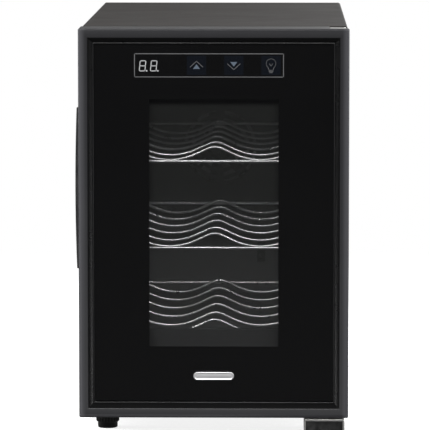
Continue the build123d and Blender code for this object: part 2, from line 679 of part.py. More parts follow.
with BuildPart() as power_board:
    board_y = TRAY_Y + 8
    top_y = board_y + 1.6
    block(-66, 46, board_y, top_y, 46, 124)
    block(-20, 12, top_y, top_y + 26, 66, 98)
    block(20, 24, top_y, top_y + 28, 54, 114)
    block(-60, -46, top_y, top_y + 12, 60, 110)
    rods([(-34, 60), (-34, 78), (-34, 96)], 6.5, top_y, top_y + 24)
    rods([(34, 64), (34, 84)], 5.0, top_y, top_y + 18)
power_board.part.label = "power_board"
export_step(power_board.part, "parts/power_board.step")

# Lamp in the cavity's ceiling, and the temperature sensor under the duct cover
with BuildPart() as lamp_lens:
    block(-30, 30, -150, -122, CAVITY_TOP_Z - 2, CAVITY_TOP_Z + LINER_T)
    fillet(lamp_lens.edges().filter_by(Axis.Z), 4)
    fillet(lamp_lens.faces().sort_by(Axis.Z)[0].edges(), 1)
    block(-28, 28, -148, -124, CAVITY_TOP_Z, CAVITY_TOP_Z + 3, Mode.SUBTRACT)
lamp_lens.part.label = "lamp_lens"
export_step(lamp_lens.part, "parts/lamp_lens.step")

with BuildPart() as lamp_board:
    block(-31, 31, -151, -121, CAVITY_TOP_Z + LINER_T, CAVITY_TOP_Z + LINER_T + 1.6)
    with Locations(*[(x, -136, CAVITY_TOP_Z + LINER_T - 0.5) for x in (-18, 0, 18)]):
        Box(5, 5, 1)
lamp_board.part.label = "lamp_board"
export_step(lamp_board.part, "parts/lamp_board.step")

with BuildPart() as temperature_sensor:
    block(38, 46, CAVITY_BACK_Y - 6, CAVITY_BACK_Y, 118, 142)
    rods([(42, 124)], 2.5, CAVITY_BACK_Y - 12, CAVITY_BACK_Y - 6)
    fillet(temperature_sensor.faces().sort_by(Axis.Y)[0].edges(), 1.2)
temperature_sensor.part.label = "temperature_sensor"
export_step(temperature_sensor.part, "parts/temperature_sensor.step")

# ================================================================ door
# Door frame: a moulded ring with two mitred facets in front, hollow behind the glass
# rebate, with solid corners at the hinge side.
CORNER_X = 101.0
CORNER_LENGTH = 26.0
HANDLE_CUT = (FRONT_Y + 3.5, FRONT_Y + 31.0)
with BuildPart() as door_frame:
    plate(DOOR_W, DOOR_H, FRONT_Y, DOOR_BACK_Y, DOOR_MID_Z)
    front_face = door_frame.faces().sort_by(Axis.Y)[0]
    fillet(door_frame.edges().filter_by(Axis.Y) + front_face.edges(), DOOR_EDGE_R)
    # the two facets that fall towards the glass
    for (inset0, drop0), (inset1, drop1) in zip(FACETS, FACETS[1:]):
        with BuildSketch(front_plane(FRONT_Y + drop0)):
            with Locations((0, DOOR_MID_Z)):
                Rectangle(DOOR_W - 2 * inset0, DOOR_H - 2 * inset0)
        with BuildSketch(front_plane(FRONT_Y + drop1)):
            with Locations((0, DOOR_MID_Z)):
                Rectangle(DOOR_W - 2 * inset1, DOOR_H - 2 * inset1)
        loft(ruled=True, mode=Mode.SUBTRACT)
    lip_inset, lip_drop = FACETS[-1]
    plate(
        DOOR_W - 2 * lip_inset,
        DOOR_H - 2 * lip_inset,
        FRONT_Y + lip_drop,
        GLASS_Y,
        DOOR_MID_Z,
        mode=Mode.SUBTRACT,
    )
    plate(
        DOOR_W - 2 * GLASS_INSET,
        DOOR_H - 2 * GLASS_INSET,
        GLASS_Y,
        DOOR_BACK_Y,
        DOOR_MID_Z,
        mode=Mode.SUBTRACT,
    )
    plate(
        DOOR_W - 2 * DOOR_WALL,
        DOOR_H - 2 * DOOR_WALL,
        GLASS_BACK_Y,
        DOOR_BACK_Y,
        DOOR_MID_Z,
        mode=Mode.SUBTRACT,
    )
    # solid corners for the hinge bushes
    for z0, z1 in ((DOOR_BOTTOM_Z + 1, DOOR_BOTTOM_Z + CORNER_LENGTH), (TOP_Z - CORNER_LENGTH, TOP_Z - 1)):
        block(CORNER_X, HALF_DOOR - 1, GLASS_BACK_Y, PANEL_Y, z0, z1)
    # the open pocket in which the top hinge plate swings
    block(
        HINGE_X - PLATE_W / 2 - 0.6,
        HALF_DOOR + 1,
        HINGE_Y - 11.8,
        DOOR_BACK_Y + 1,
        POCKET_Z,
        TOP_Z + 1,
        Mode.SUBTRACT,
    )
    posts([(HINGE_X, HINGE_Y)], BUSH_R, DOOR_BOTTOM_Z - 1, DOOR_BOTTOM_Z + 18, Mode.SUBTRACT)
    posts([(HINGE_X, HINGE_Y)], BUSH_R, TOP_Z - 22, TOP_Z, Mode.SUBTRACT)
    block(
        -HALF_DOOR - 1,
        -HALF_DOOR + HANDLE_DEPTH,
        HANDLE_CUT[0],
        HANDLE_CUT[1],
        HANDLE_Z - HANDLE_H / 2,
        HANDLE_Z + HANDLE_H / 2,
        Mode.SUBTRACT,
    )
door_frame.part.label = "door_frame"
export_step(door_frame.part, "parts/door_frame.step")

# Door handle: an insert in the left side, whose front lip bows outwards over a scoop.
with BuildPart() as door_handle:
    block(
        -HALF_DOOR,
        -HALF_DOOR + HANDLE_DEPTH,
        HANDLE_CUT[0],
        HANDLE_CUT[1],
        HANDLE_Z - HANDLE_H / 2,
        HANDLE_Z + HANDLE_H / 2,
    )
    with BuildSketch(Plane.YZ.offset(-HALF_DOOR - 1)):
        with Locations(((HANDLE_CUT[0] + 10 + HANDLE_CUT[1] - 2) / 2, HANDLE_Z)):
            RectangleRounded(HANDLE_CUT[1] - HANDLE_CUT[0] - 12, HANDLE_H - 12, 5)
    extrude(amount=HANDLE_DEPTH - 0.8, mode=Mode.SUBTRACT)
    bow_end = -HALF_DOOR - LIP_END_PROUD
    with BuildSketch(front_plane(HANDLE_CUT[0] - 2.5)):
        with BuildLine():
            low, high = HANDLE_Z - HANDLE_H / 2, HANDLE_Z + HANDLE_H / 2
            ThreePointArc(
                (bow_end, low), (-HALF_DOOR - LIP_MID_PROUD, HANDLE_Z), (bow_end, high)
            )
            Polyline(
                (bow_end, high),
                (-HALF_DOOR, high),
                (-HALF_DOOR, low),
                (bow_end, low),
            )
        make_face()
    extrude(amount=-11.5)
    bow_edges = door_handle.edges().filter_by(GeomType.CIRCLE).filter_by(
        lambda e: e.radius > 100
    )
    fillet(bow_edges, 0.6)
door_handle.part.label = "door_handle"
export_step(door_handle.part, "parts/door_handle.step")

# Glass bead: a thin bright line around the glass, inside the frame's lip.
with BuildPart() as glass_bead:
    bead_w = DOOR_W - 2 * lip_inset
    bead_h = DOOR_H - 2 * lip_inset
    plate(bead_w, bead_h, GLASS_Y - 0.7, GLASS_Y, DOOR_MID_Z)
    plate(
        bead_w - 2 * BEAD_W,
        bead_h - 2 * BEAD_W,
        GLASS_Y - 1,
        GLASS_Y + 1,
        DOOR_MID_Z,
        mode=Mode.SUBTRACT,
    )
glass_bead.part.label = "glass_bead"
export_step(glass_bead.part, "parts/glass_bead.step")

# Outer glass: one pane behind the frame's lip.
with BuildPart() as outer_glass:
    plate(
        DOOR_W - 2 * GLASS_INSET,
        DOOR_H - 2 * GLASS_INSET,
        GLASS_Y,
        GLASS_BACK_Y,
        DOOR_MID_Z,
    )
outer_glass.part.label = "outer_glass"
export_step(outer_glass.part, "parts/outer_glass.step")

# Glass spacer and inner glass: the sealed double pane behind the window.
PANE_MARGIN = 26.0
with BuildPart() as glass_spacer:
    plate(WINDOW_W + 14, WINDOW_H + 14, GLASS_BACK_Y, INNER_PANE_Y, DOOR_MID_Z)
    plate(WINDOW_W, WINDOW_H, GLASS_BACK_Y - 1, INNER_PANE_Y + 1, DOOR_MID_Z, mode=Mode.SUBTRACT)
glass_spacer.part.label = "glass_spacer"
export_step(glass_spacer.part, "parts/glass_spacer.step")

with BuildPart() as inner_glass:
    plate(
        WINDOW_W + PANE_MARGIN,
        WINDOW_H + PANE_MARGIN,
        INNER_PANE_Y,
        INNER_PANE_Y + GLASS_T,
        DOOR_MID_Z,
    )
inner_glass.part.label = "inner_glass"
export_step(inner_glass.part, "parts/inner_glass.step")

# Door back panel: closes the door behind, with a funnel to the inner glass and a
# groove for the gasket's root.
PANE_BACK_Y = INNER_PANE_Y + GLASS_T
GASKET_OUT_W = DOOR_W - 2 * GASKET_INSET
GASKET_OUT_H = DOOR_H - 2 * GASKET_INSET
ROOT_W = 4.0
FUNNEL_FLARE = 7.0
with BuildPart() as door_back_panel:
    plate(
        DOOR_W - 2 * DOOR_WALL,
        DOOR_H - 2 * DOOR_WALL,
        PANEL_Y,
        DOOR_BACK_Y,
        DOOR_MID_Z,
    )
    plate(
        WINDOW_W + PANE_MARGIN,
        WINDOW_H + PANE_MARGIN,
        PANE_BACK_Y,
        PANEL_Y,
        DOOR_MID_Z,
    )
    with BuildSketch(front_plane(PANE_BACK_Y)):
        with Locations((0, DOOR_MID_Z)):
            Rectangle(WINDOW_W, WINDOW_H)
    with BuildSketch(front_plane(DOOR_BACK_Y)):
        with Locations((0, DOOR_MID_Z)):
            Rectangle(WINDOW_W + 2 * FUNNEL_FLARE, WINDOW_H + 2 * FUNNEL_FLARE)
    loft(ruled=True, mode=Mode.SUBTRACT)
    groove_w = GASKET_OUT_W - GASKET_W
    groove_h = GASKET_OUT_H - GASKET_W
    with BuildSketch(front_plane(DOOR_BACK_Y - 1.5)):
        with Locations((0, DOOR_MID_Z)):
            Rectangle(groove_w + ROOT_W, groove_h + ROOT_W)
            Rectangle(groove_w - ROOT_W, groove_h - ROOT_W, mode=Mode.SUBTRACT)
    extrude(amount=-3, mode=Mode.SUBTRACT)
    # clear of the open hinge pocket
    block(
        HINGE_X - PLATE_W / 2 - 0.6,
        HALF_DOOR + 1,
        PANEL_Y - 1,
        DOOR_BACK_Y + 1,
        POCKET_Z,
        TOP_Z + 1,
        Mode.SUBTRACT,
    )
door_back_panel.part.label = "door_back_panel"
export_step(door_back_panel.part, "parts/door_back_panel.step")

# Door gasket: a soft ring with its root in the panel's groove.
with BuildPart() as door_gasket:
    seal_y = CABINET_FRONT_Y - GASKET_GAP
    with BuildSketch(front_plane(DOOR_BACK_Y)):
        with Locations((0, DOOR_MID_Z)):
            RectangleRounded(GASKET_OUT_W, GASKET_OUT_H, 5)
            RectangleRounded(
                GASKET_OUT_W - 2 * GASKET_W, GASKET_OUT_H - 2 * GASKET_W, 2, mode=Mode.SUBTRACT
            )
    extrude(amount=-(seal_y - DOOR_BACK_Y))
    fillet(door_gasket.faces().sort_by(Axis.Y)[-1].edges(), 1.2)
    with BuildSketch(front_plane(DOOR_BACK_Y - 1.5)):
        with Locations((0, DOOR_MID_Z)):
            Rectangle(groove_w + ROOT_W, groove_h + ROOT_W)
            Rectangle(groove_w - ROOT_W, groove_h - ROOT_W, mode=Mode.SUBTRACT)
    extrude(amount=-1.5)
door_gasket.part.label = "door_gasket"
export_step(door_gasket.part, "parts/door_gasket.step")

# Control parts behind the glass: a board, a two-digit display and three touch pads.
CONTROL_Z = 348.3
BOARD_Y = GLASS_BACK_Y + 6.0
with BuildPart() as display_board:
    plate(146, 24, BOARD_Y, BOARD_Y + 1.6, CONTROL_Z, -4.5)
display_board.part.label = "display_board"
export_step(display_board.part, "parts/display_board.step")

with BuildPart() as display_module:
    plate(25, 16, GLASS_BACK_Y, BOARD_Y, CONTROL_Z, -61.0)
display_module.part.label = "display_module"
export_step(display_module.part, "parts/display_module.step")

with BuildPart() as touch_pads:
    rods([(-16.1, CONTROL_Z), (18.6, CONTROL_Z), (53.2, CONTROL_Z)], 6.0, GLASS_BACK_Y, BOARD_Y)
touch_pads.part.label = "touch_pads"
export_step(touch_pads.part, "parts/touch_pads.step")

# Door foam: fills the hollow around the double pane.
with BuildPart() as door_foam:
    plate(
        DOOR_W - 2 * DOOR_WALL,
        DOOR_H - 2 * DOOR_WALL,
        GLASS_BACK_Y,
        PANEL_Y,
        DOOR_MID_Z,
    )
    plate(
        WINDOW_W + PANE_MARGIN,
        WINDOW_H + PANE_MARGIN,
        GLASS_BACK_Y - 1,
        PANEL_Y + 1,
        DOOR_MID_Z,
        mode=Mode.SUBTRACT,
    )
    for z0, z1 in ((0, DOOR_BOTTOM_Z + CORNER_LENGTH), (TOP_Z - CORNER_LENGTH, TOP_Z)):
        block(CORNER_X, HALF_DOOR, GLASS_BACK_Y - 1, PANEL_Y + 1, z0, z1, Mode.SUBTRACT)
    block(
        -HALF_DOOR,
        -HALF_DOOR + HANDLE_DEPTH,
        GLASS_BACK_Y - 1,
        HANDLE_CUT[1],
        HANDLE_Z - HANDLE_H / 2,
        HANDLE_Z + HANDLE_H / 2,
        Mode.SUBTRACT,
    )
    plate(146, 24, GLASS_BACK_Y - 1, BOARD_Y + 1.6, CONTROL_Z, -4.5, Mode.SUBTRACT)
door_foam.part.label = "door_foam"
export_step(door_foam.part, "parts/door_foam.step")

# Emblem: a plain pill-shaped plate on the glass.
with BuildPart() as emblem:
    with BuildSketch(front_plane(GLASS_Y)):
        with Locations((0, 57.4)):
            SlotOverall(38, 7.5)
    extrude(amount=0.9)
    fillet(emblem.faces().sort_by(Axis.Y)[0].edges(), 0.4)
emblem.part.label = "emblem"
export_step(emblem.part, "parts/emblem.step")

# ================================================================ hinges
# Top hinge plate: a cranked plate whose flange lies flush in the cabinet's front.
with BuildPart() as top_hinge_plate:
    plate_z = PLATE_TOP_Z - PLATE_T
    with BuildSketch(Plane.XY.offset(plate_z)):
        with Locations((HINGE_X, HINGE_Y)):
            Circle(PLATE_W / 2)
        with Locations((HINGE_X, (HINGE_Y + CABINET_FRONT_Y + PLATE_T) / 2)):
            Rectangle(PLATE_W, CABINET_FRONT_Y + PLATE_T - HINGE_Y)
    extrude(amount=PLATE_T)
    x0, x1, z0, z1 = HINGE_FLANGE
    block(x0, x1, CABINET_FRONT_Y, CABINET_FRONT_Y + PLATE_T, z0, z1)
    posts([(HINGE_X, HINGE_Y)], PIN_R, plate_z - 1, PLATE_TOP_Z + 1, Mode.SUBTRACT)
    with Locations(
        *[Location((x, CABINET_FRONT_Y, z), (90, 0, 0)) for x, z in TOP_HINGE_SCREWS]
    ):
        CounterSinkHole(2.0, 3.8, depth=PLATE_T + 1)
top_hinge_plate.part.label = "top_hinge_plate"
export_step(top_hinge_plate.part, "parts/top_hinge_plate.step")

# Lower hinge bracket: an upturned channel under the door, running back beneath the
# cabinet, where the right levelling foot passes through it.
BRACKET_X = (84.5, 122.7)
BRACKET_T = 1.9
BRACKET_FRONT_Y = -251.5
BRACKET_BACK_Y = -173.0
CHANNEL_BACK_Y = -208.0
BRACKET_LOW_Z = 4.0
with BuildPart() as lower_hinge_bracket:
    block(*BRACKET_X, BRACKET_FRONT_Y, BRACKET_BACK_Y, BRACKET_LOW_Z, BASE_Z)
    upper = lower_hinge_bracket.edges().filter_by(Axis.Y).group_by(Axis.Z)[-1]
    fillet(upper, 3.5)
    with BuildSketch(front_plane(BRACKET_FRONT_Y - 1)):
        with Locations((sum(BRACKET_X) / 2, (BASE_Z - BRACKET_T) / 2)):
            Rectangle(BRACKET_X[1] - BRACKET_X[0] - 2 * BRACKET_T, BASE_Z - BRACKET_T)
    extrude(amount=-(BRACKET_BACK_Y - BRACKET_FRONT_Y + 2), mode=Mode.SUBTRACT)
    # behind the door only the top plate goes on
    block(
        BRACKET_X[0] - 1,
        BRACKET_X[1] + 1,
        CHANNEL_BACK_Y,
        BRACKET_BACK_Y + 1,
        0,
        BASE_Z - BRACKET_T,
        Mode.SUBTRACT,
    )
    posts([(HINGE_X, HINGE_Y)], PIN_R, BASE_Z - 4, BASE_Z + 1, Mode.SUBTRACT)
    posts([(FOOT_X, FRONT_FOOT_Y)], STUD_R + 0.05, BASE_Z - 4, BASE_Z + 1, Mode.SUBTRACT)
    posts(BRACKET_SCREWS, 1.75, BASE_Z - 4, BASE_Z + 1, Mode.SUBTRACT)
lower_hinge_bracket.part.label = "lower_hinge_bracket"
export_step(lower_hinge_bracket.part, "parts/lower_hinge_bracket.step")

# Hinge block: a moulded filler in the channel, around the pin's head.
with BuildPart() as hinge_block:
    block(
        BRACKET_X[0] + BRACKET_T,
        BRACKET_X[1] - BRACKET_T,
        BRACKET_FRONT_Y + 0.6,
        CHANNEL_BACK_Y,
        BRACKET_LOW_Z - 1.2,
        BASE_Z - BRACKET_T,
    )
    fillet(hinge_block.edges().filter_by(Axis.Y).group_by(Axis.Z)[0], 1.5)
    posts([(HINGE_X, HINGE_Y)], 4.6, BASE_Z - BRACKET_T - 3, BASE_Z, Mode.SUBTRACT)
hinge_block.part.label = "hinge_block"
export_step(hinge_block.part, "parts/hinge_block.step")

# Hinge pins, pressed in the two plates
with BuildPart() as top_hinge_pin:
    posts([(HINGE_X, HINGE_Y)], PIN_R, TOP_Z - 18, PLATE_TOP_Z)
    chamfer(top_hinge_pin.faces().sort_by(Axis.Z)[0].edges(), 0.6)
top_hinge_pin.part.label = "top_hinge_pin"
export_step(top_hinge_pin.part, "parts/top_hinge_pin.step")

with BuildPart() as lower_hinge_pin:
    posts([(HINGE_X, HINGE_Y)], PIN_R, BASE_Z - BRACKET_T, DOOR_BOTTOM_Z + 14)
    chamfer(lower_hinge_pin.faces().sort_by(Axis.Z)[-1].edges(), 0.6)
    posts([(HINGE_X, HINGE_Y)], 4.4, BASE_Z - BRACKET_T - 2, BASE_Z - BRACKET_T)
lower_hinge_pin.part.label = "lower_hinge_pin"
export_step(lower_hinge_pin.part, "parts/lower_hinge_pin.step")

# Hinge bushes: flanged sleeves in the door's solid corners, with a running fit.
with BuildPart() as top_hinge_bush:
    posts([(HINGE_X, HINGE_Y)], BUSH_R, TOP_Z - 22, POCKET_Z)
    posts([(HINGE_X, HINGE_Y)], 6.0, POCKET_Z, POCKET_Z + 0.9)
    posts([(HINGE_X, HINGE_Y)], BUSH_BORE_R, TOP_Z - 20, TOP_Z, Mode.SUBTRACT)
top_hinge_bush.part.label = "top_hinge_bush"
export_step(top_hinge_bush.part, "parts/top_hinge_bush.step")

with BuildPart() as lower_hinge_bush:
    posts([(HINGE_X, HINGE_Y)], BUSH_R, DOOR_BOTTOM_Z, DOOR_BOTTOM_Z + 18)
    posts([(HINGE_X, HINGE_Y)], BUSH_FLANGE_R, DOOR_BOTTOM_Z - 0.9, DOOR_BOTTOM_Z)
    posts([(HINGE_X, HINGE_Y)], BUSH_BORE_R, DOOR_BOTTOM_Z - 2, DOOR_BOTTOM_Z + 16, Mode.SUBTRACT)
lower_hinge_bush.part.label = "lower_hinge_bush"
export_step(lower_hinge_bush.part, "parts/lower_hinge_bush.step")

# Hinge screws: two countersunk in the top flange, three up through the bracket.
with BuildPart() as hinge_screws:
    rods(TOP_HINGE_SCREWS, 2.0, CABINET_FRONT_Y + 1, CABINET_FRONT_Y + 14)
    for x, z in TOP_HINGE_SCREWS:
        with BuildSketch(front_plane(CABINET_FRONT_Y + 0.05)):
            with Locations((x, z)):
                Circle(3.7)
        with BuildSketch(front_plane(CABINET_FRONT_Y + 1.75)):
            with Locations((x, z)):
                Circle(2.0)
        loft()
    posts(BRACKET_SCREWS, 1.75, BASE_Z - BRACKET_T, BASE_Z + 8)
    posts(BRACKET_SCREWS, 3.2, BASE_Z - BRACKET_T - 2, BASE_Z - BRACKET_T)
hinge_screws.part.label = "hinge_screws"
export_step(hinge_screws.part, "parts/hinge_screws.step")
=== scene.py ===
import json
import math

import bmesh
import bpy
from bpy.props import FloatProperty, FloatVectorProperty, IntProperty, PointerProperty
from mathutils import Matrix, Vector

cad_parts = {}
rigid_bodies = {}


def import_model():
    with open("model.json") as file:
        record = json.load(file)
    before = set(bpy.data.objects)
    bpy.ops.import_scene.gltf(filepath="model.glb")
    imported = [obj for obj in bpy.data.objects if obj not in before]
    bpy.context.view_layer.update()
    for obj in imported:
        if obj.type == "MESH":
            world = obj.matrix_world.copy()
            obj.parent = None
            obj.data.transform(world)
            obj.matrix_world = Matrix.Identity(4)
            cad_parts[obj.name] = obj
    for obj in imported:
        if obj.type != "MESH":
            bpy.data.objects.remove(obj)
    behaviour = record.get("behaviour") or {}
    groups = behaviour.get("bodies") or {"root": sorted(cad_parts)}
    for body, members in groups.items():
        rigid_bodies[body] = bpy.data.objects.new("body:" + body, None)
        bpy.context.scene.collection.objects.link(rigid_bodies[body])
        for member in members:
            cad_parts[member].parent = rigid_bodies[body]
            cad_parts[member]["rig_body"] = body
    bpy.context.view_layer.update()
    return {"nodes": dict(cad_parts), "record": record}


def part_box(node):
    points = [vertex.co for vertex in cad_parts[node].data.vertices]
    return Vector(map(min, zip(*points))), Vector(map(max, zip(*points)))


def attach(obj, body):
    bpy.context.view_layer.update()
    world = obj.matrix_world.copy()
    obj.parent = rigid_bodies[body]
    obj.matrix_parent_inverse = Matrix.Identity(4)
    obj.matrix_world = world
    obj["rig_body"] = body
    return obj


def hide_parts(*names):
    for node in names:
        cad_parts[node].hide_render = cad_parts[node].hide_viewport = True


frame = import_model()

bl_info = {
    "name": "Wine Cooler",
    "version": (1, 0, 0),
    "blender": (4, 5, 0),
    "location": "View3D > Sidebar > Wine Cooler",
    "description": "Builds a narrow six-bottle wine cooler, piece by piece, around its frame",
    "category": "Object",
}

MM = 0.001
TAB = "Wine Cooler"
SLOT_OF = {part["node"]: part["material_slot"] for part in frame["record"]["subparts"]}
BODY_OF = {node: made["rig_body"] for node, made in frame["nodes"].items()}

DOOR_LOW, DOOR_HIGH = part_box("door_frame")
GLASS_LOW, GLASS_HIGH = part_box("outer_glass")
DOOR_MID_Z = (DOOR_LOW.z + DOOR_HIGH.z) / 2
RACKS = ("rack_upper", "rack_middle", "rack_lower")


# ------------------------------------------------------------------ settings
def length(name, description, default, low=0.0, high=2.0):
    """A size in metres with its limits."""
    return FloatProperty(
        name=name, description=description, default=default, min=low, max=high,
        subtype="DISTANCE", unit="LENGTH", precision=5,
    )


def share(name, description, default, high=1.0):
    """A plain number from 0 to high."""
    return FloatProperty(name=name, description=description, default=default, min=0.0, max=high)


def power(name, description, default):
    """A light's power."""
    return FloatProperty(name=name, description=description, default=default, min=0.0, unit="POWER")


def count(name, description, default, low, high):
    """A whole number with its limits."""
    return IntProperty(name=name, description=description, default=default, min=low, max=high)


def colour(name, description, default):
    """A linear colour."""
    return FloatVectorProperty(
        name=name, description=description, default=default, size=3, min=0.0, max=1.0,
        subtype="COLOR",
    )


class CoolerSizes(bpy.types.PropertyGroup):
    """Sizes of the rounded edges, wires, waves, window, print, foot ribs and guard rings."""

    sheet_edge: length("Sheet edge", "Rounding on the edges of folded sheet", 0.00030)
    mould_edge: length("Moulding edge", "Rounding on the edges of moulded pieces", 0.00045)
    wire_radius: length("Wave wire radius", "Radius of the racks' wave wires", 0.0014)
    bar_radius: length("Bar radius", "Radius of the racks' front and rear bars", 0.0016)
    rail_radius: length("Rail radius", "Radius of the racks' side rails", 0.0020)
    peak_rise: length("Peak rise", "Height of a wave's crest over the front bar", 0.01476)
    valley_drop: length("Valley drop", "Depth of a wave's cradle under the front bar", 0.0048)
    end_rise: length("End rise", "Height of a wave's ends over the front bar", 0.0130)
    peak_bend: length("Crest bend", "Bending radius of the crest", 0.017)
    valley_bend: length("Cradle bend", "Bending radius of the cradles", 0.060)
    wave_count: count("Wave wires", "Wave wires on a rack", 6, 2, 12)
    wave_first_gap: length("First gap", "From the first wave wire to the second", 0.052)
    wave_pitch: length("Wave pitch", "From each later wave wire to the next", 0.064)
    window_width: length("Window width", "Clear width between the printed borders", 0.1206)
    window_height: length("Window height", "Clear height between the printed borders", 0.2320)
    print_line: length("Printed line", "Width of the control panel's outline", 0.00078)
    foot_ribs: count("Foot ribs", "Grip ribs round a foot's skirt", 24, 8, 60)
    foot_rib_radius: length("Foot rib radius", "Radius of a grip rib", 0.0006)
    guard_rings: count("Guard rings", "Wire rings of the fan guard", 5, 2, 9)


class CoolerColours(bpy.types.PropertyGroup):
    """Colours of the finishes."""

    wrap: colour("Cabinet sheet", "Textured coating of the cabinet", (0.0172, 0.0150, 0.0137))
    back_sheet: colour("Back sheet", "Coating of the back and the base", (0.022, 0.022, 0.023))
    galvanised: colour("Galvanised sheet", "Hidden back panel", (0.46, 0.47, 0.48))
    plated: colour("Plated steel", "Zinc-plated hinge parts", (0.60, 0.60, 0.58))
    frame_plastic: colour("Door plastic", "Door frame, handle and mouth frame", (0.024, 0.024, 0.0262))
    liner: colour("Liner", "Cavity, fan cover and door lining", (0.105, 0.106, 0.110))
    chrome: colour("Chrome wire", "Racks and fan guard", (0.80, 0.80, 0.81))
    aluminium: colour("Aluminium", "Heat sinks and cold block", (0.62, 0.63, 0.64))
    emblem: colour("Emblem", "Satin badge", (0.74, 0.74, 0.75))
    rubber: colour("Rubber", "Door gasket and gland", (0.021, 0.021, 0.022))
    foot: colour("Foot plastic", "Feet, spacers and hinge block", (0.0045, 0.0045, 0.0045))
    brass: colour("Brass", "Foot nuts", (0.66, 0.47, 0.19))
    board: colour("Circuit board", "Solder mask", (0.016, 0.115, 0.048))
    foam: colour("Foam", "Insulation", (0.72, 0.62, 0.38))
    border: colour("Glass border", "Opaque print behind the glass", (0.0016, 0.0016, 0.0017))
    symbols: colour("Symbols", "Printed outline and symbols", (0.11, 0.11, 0.113))
    digits: colour("Digits", "Lit digits of the display", (0.42, 0.42, 0.43))
    floor: colour("Floor", "Pale studio floor", (0.80, 0.80, 0.80))


class CoolerStudio(bpy.types.PropertyGroup):
    """Lights and camera."""

    top_power: power("Top light", "Power of the overhead softbox", 24.0)
    left_power: power("Left light", "Power of the left softbox", 30.0)
    right_power: power("Right light", "Power of the right softbox", 30.0)
    back_power: power("Back light", "Power of the rear softbox", 8.0)
    front_power: power("Front light", "Power of the front softbox", 165.0)
    ambient: share("Ambient", "Strength of the room's even light", 0.22)
    camera_x: length("Camera X", "Camera place across", 0.0632, -5, 5)
    camera_y: length("Camera Y", "Camera place in depth", -3.7265, -9, 9)
    camera_z: length("Camera Z", "Camera height", 0.5735, -5, 5)
    focal: FloatProperty(name="Focal length", description="Lens in millimetres", default=313.95, min=10.0)


# ------------------------------------------------------------------ node building
VALUE, COLOUR, VECTOR = "NodeSocketFloat", "NodeSocketColor", "NodeSocketVector"
GEOMETRY, FINISH = "NodeSocketGeometry", "NodeSocketMaterial"


def fill(tree, node, inputs):
    """Links or sets a node's inputs by name or number. A list holds several links."""
    for key, value in inputs.items():
        for one in value if isinstance(value, list) else [value]:
            if isinstance(one, bpy.types.NodeSocket):
                tree.links.new(one, node.inputs[key])
            else:
                node.inputs[key].default_value = one


def add_node(tree, kind, inputs, **settings):
    """Adds one node with its options and inputs, and returns its outputs."""
    made = tree.nodes.new(kind)
    for key, value in settings.items():
        setattr(made, key, value)
    fill(tree, made, inputs)
    return made.outputs


def put(tree, kind, inputs, output=0, **settings):
    """Adds one node and returns one of its outputs."""
    return add_node(tree, kind, inputs, **settings)[output]


def maths(tree, operation, first, second=0.5, clamp=False):
    """The result of one Math node."""
    return put(tree, "ShaderNodeMath", {0: first, 1: second}, operation=operation, use_clamp=clamp)


def times(tree, first, second, clamp=False):
    return maths(tree, "MULTIPLY", first, second, clamp)


def plus(tree, first, second, clamp=False):
    return maths(tree, "ADD", first, second, clamp)


def remap(tree, value, *limits, **settings):
    """A value moved from two limits to two others, or to 0 and 1."""
    return put(tree, "ShaderNodeMapRange", {0: value, **dict(enumerate(limits, 1))}, **settings)


def object_place(tree):
    """Object coordinates."""
    return put(tree, "ShaderNodeTexCoord", {}, "Object")


def stretched(tree, stretch):
    """Object coordinates, stretched along the axes."""
    return put(tree, "ShaderNodeVectorMath", {0: object_place(tree), 1: stretch}, operation="MULTIPLY")


def scaled(tree, vector, factor):
    return put(tree, "ShaderNodeVectorMath", {0: vector, "Scale": factor}, operation="SCALE")


def noise(tree, where, scale, detail, **more):
    """The grey of one noise texture."""
    return put(
        tree, "ShaderNodeTexNoise", {"Vector": where, "Scale": scale, "Detail": detail, **more}, "Fac")


def name_sockets(tree, side, kinds):
    """Names a tree's sockets on one side. Each has a default value, or the name of its type."""
    for name, kind in kinds.items():
        plain = isinstance(kind, str)
        if isinstance(kind, tuple):
            found = COLOUR if len(kind) == 4 else VECTOR
        else:
            found = kind if plain else {int: "NodeSocketInt", float: VALUE}[type(kind)]
        made = tree.interface.new_socket(name=name, in_out=side, socket_type=found)
        if not plain:
            made.default_value = kind


# ------------------------------------------------------------------ shared effects
def grain_effect(tree, ins):
    """Pebbled grain of a moulding or a textured coating."""
    where = stretched(tree, ins["Stretch"])
    fine = noise(tree, where, ins["Scale"], 3.0)
    cells = put(
        tree, "ShaderNodeTexVoronoi", {"Vector": where, "Scale": ins["Scale"]}, "Distance",
        feature="SMOOTH_F1")
    mixed = put(tree, "ShaderNodeMix", {0: ins["Pebble"], 2: fine, 3: cells}, data_type="FLOAT")
    return {"Height": mixed, "Mask": remap(tree, mixed, 0.35, 0.65)}


def drift_effect(tree, ins):
    """Slow changes of a colour over a surface."""
    where = object_place(tree)
    slow = noise(tree, where, ins["Scale"], 4.0)
    quick = noise(tree, where, times(tree, ins["Scale"], 37.0), 2.0)
    both = plus(tree, times(tree, slow, 0.7), times(tree, quick, 0.3))
    change = times(tree, maths(tree, "SUBTRACT", both, 0.5), ins["Amount"])
    return {"Colour": scaled(tree, ins["Colour"], plus(tree, times(tree, change, 4.0), 1.0))}


def dust_effect(tree, ins):
    """Fine dust that lies on what faces up."""
    normal = put(tree, "ShaderNodeNewGeometry", {}, "Normal")
    up = put(tree, "ShaderNodeSeparateXYZ", {0: normal}, "Z")
    lies = remap(tree, up, 0.2, 1.0, 0.15, 1.0)
    patchy = remap(tree, noise(tree, object_place(tree), ins["Scale"], 8.0), 0.38, 0.72)
    return {"Mask": times(tree, times(tree, lies, patchy), ins["Amount"], True)}


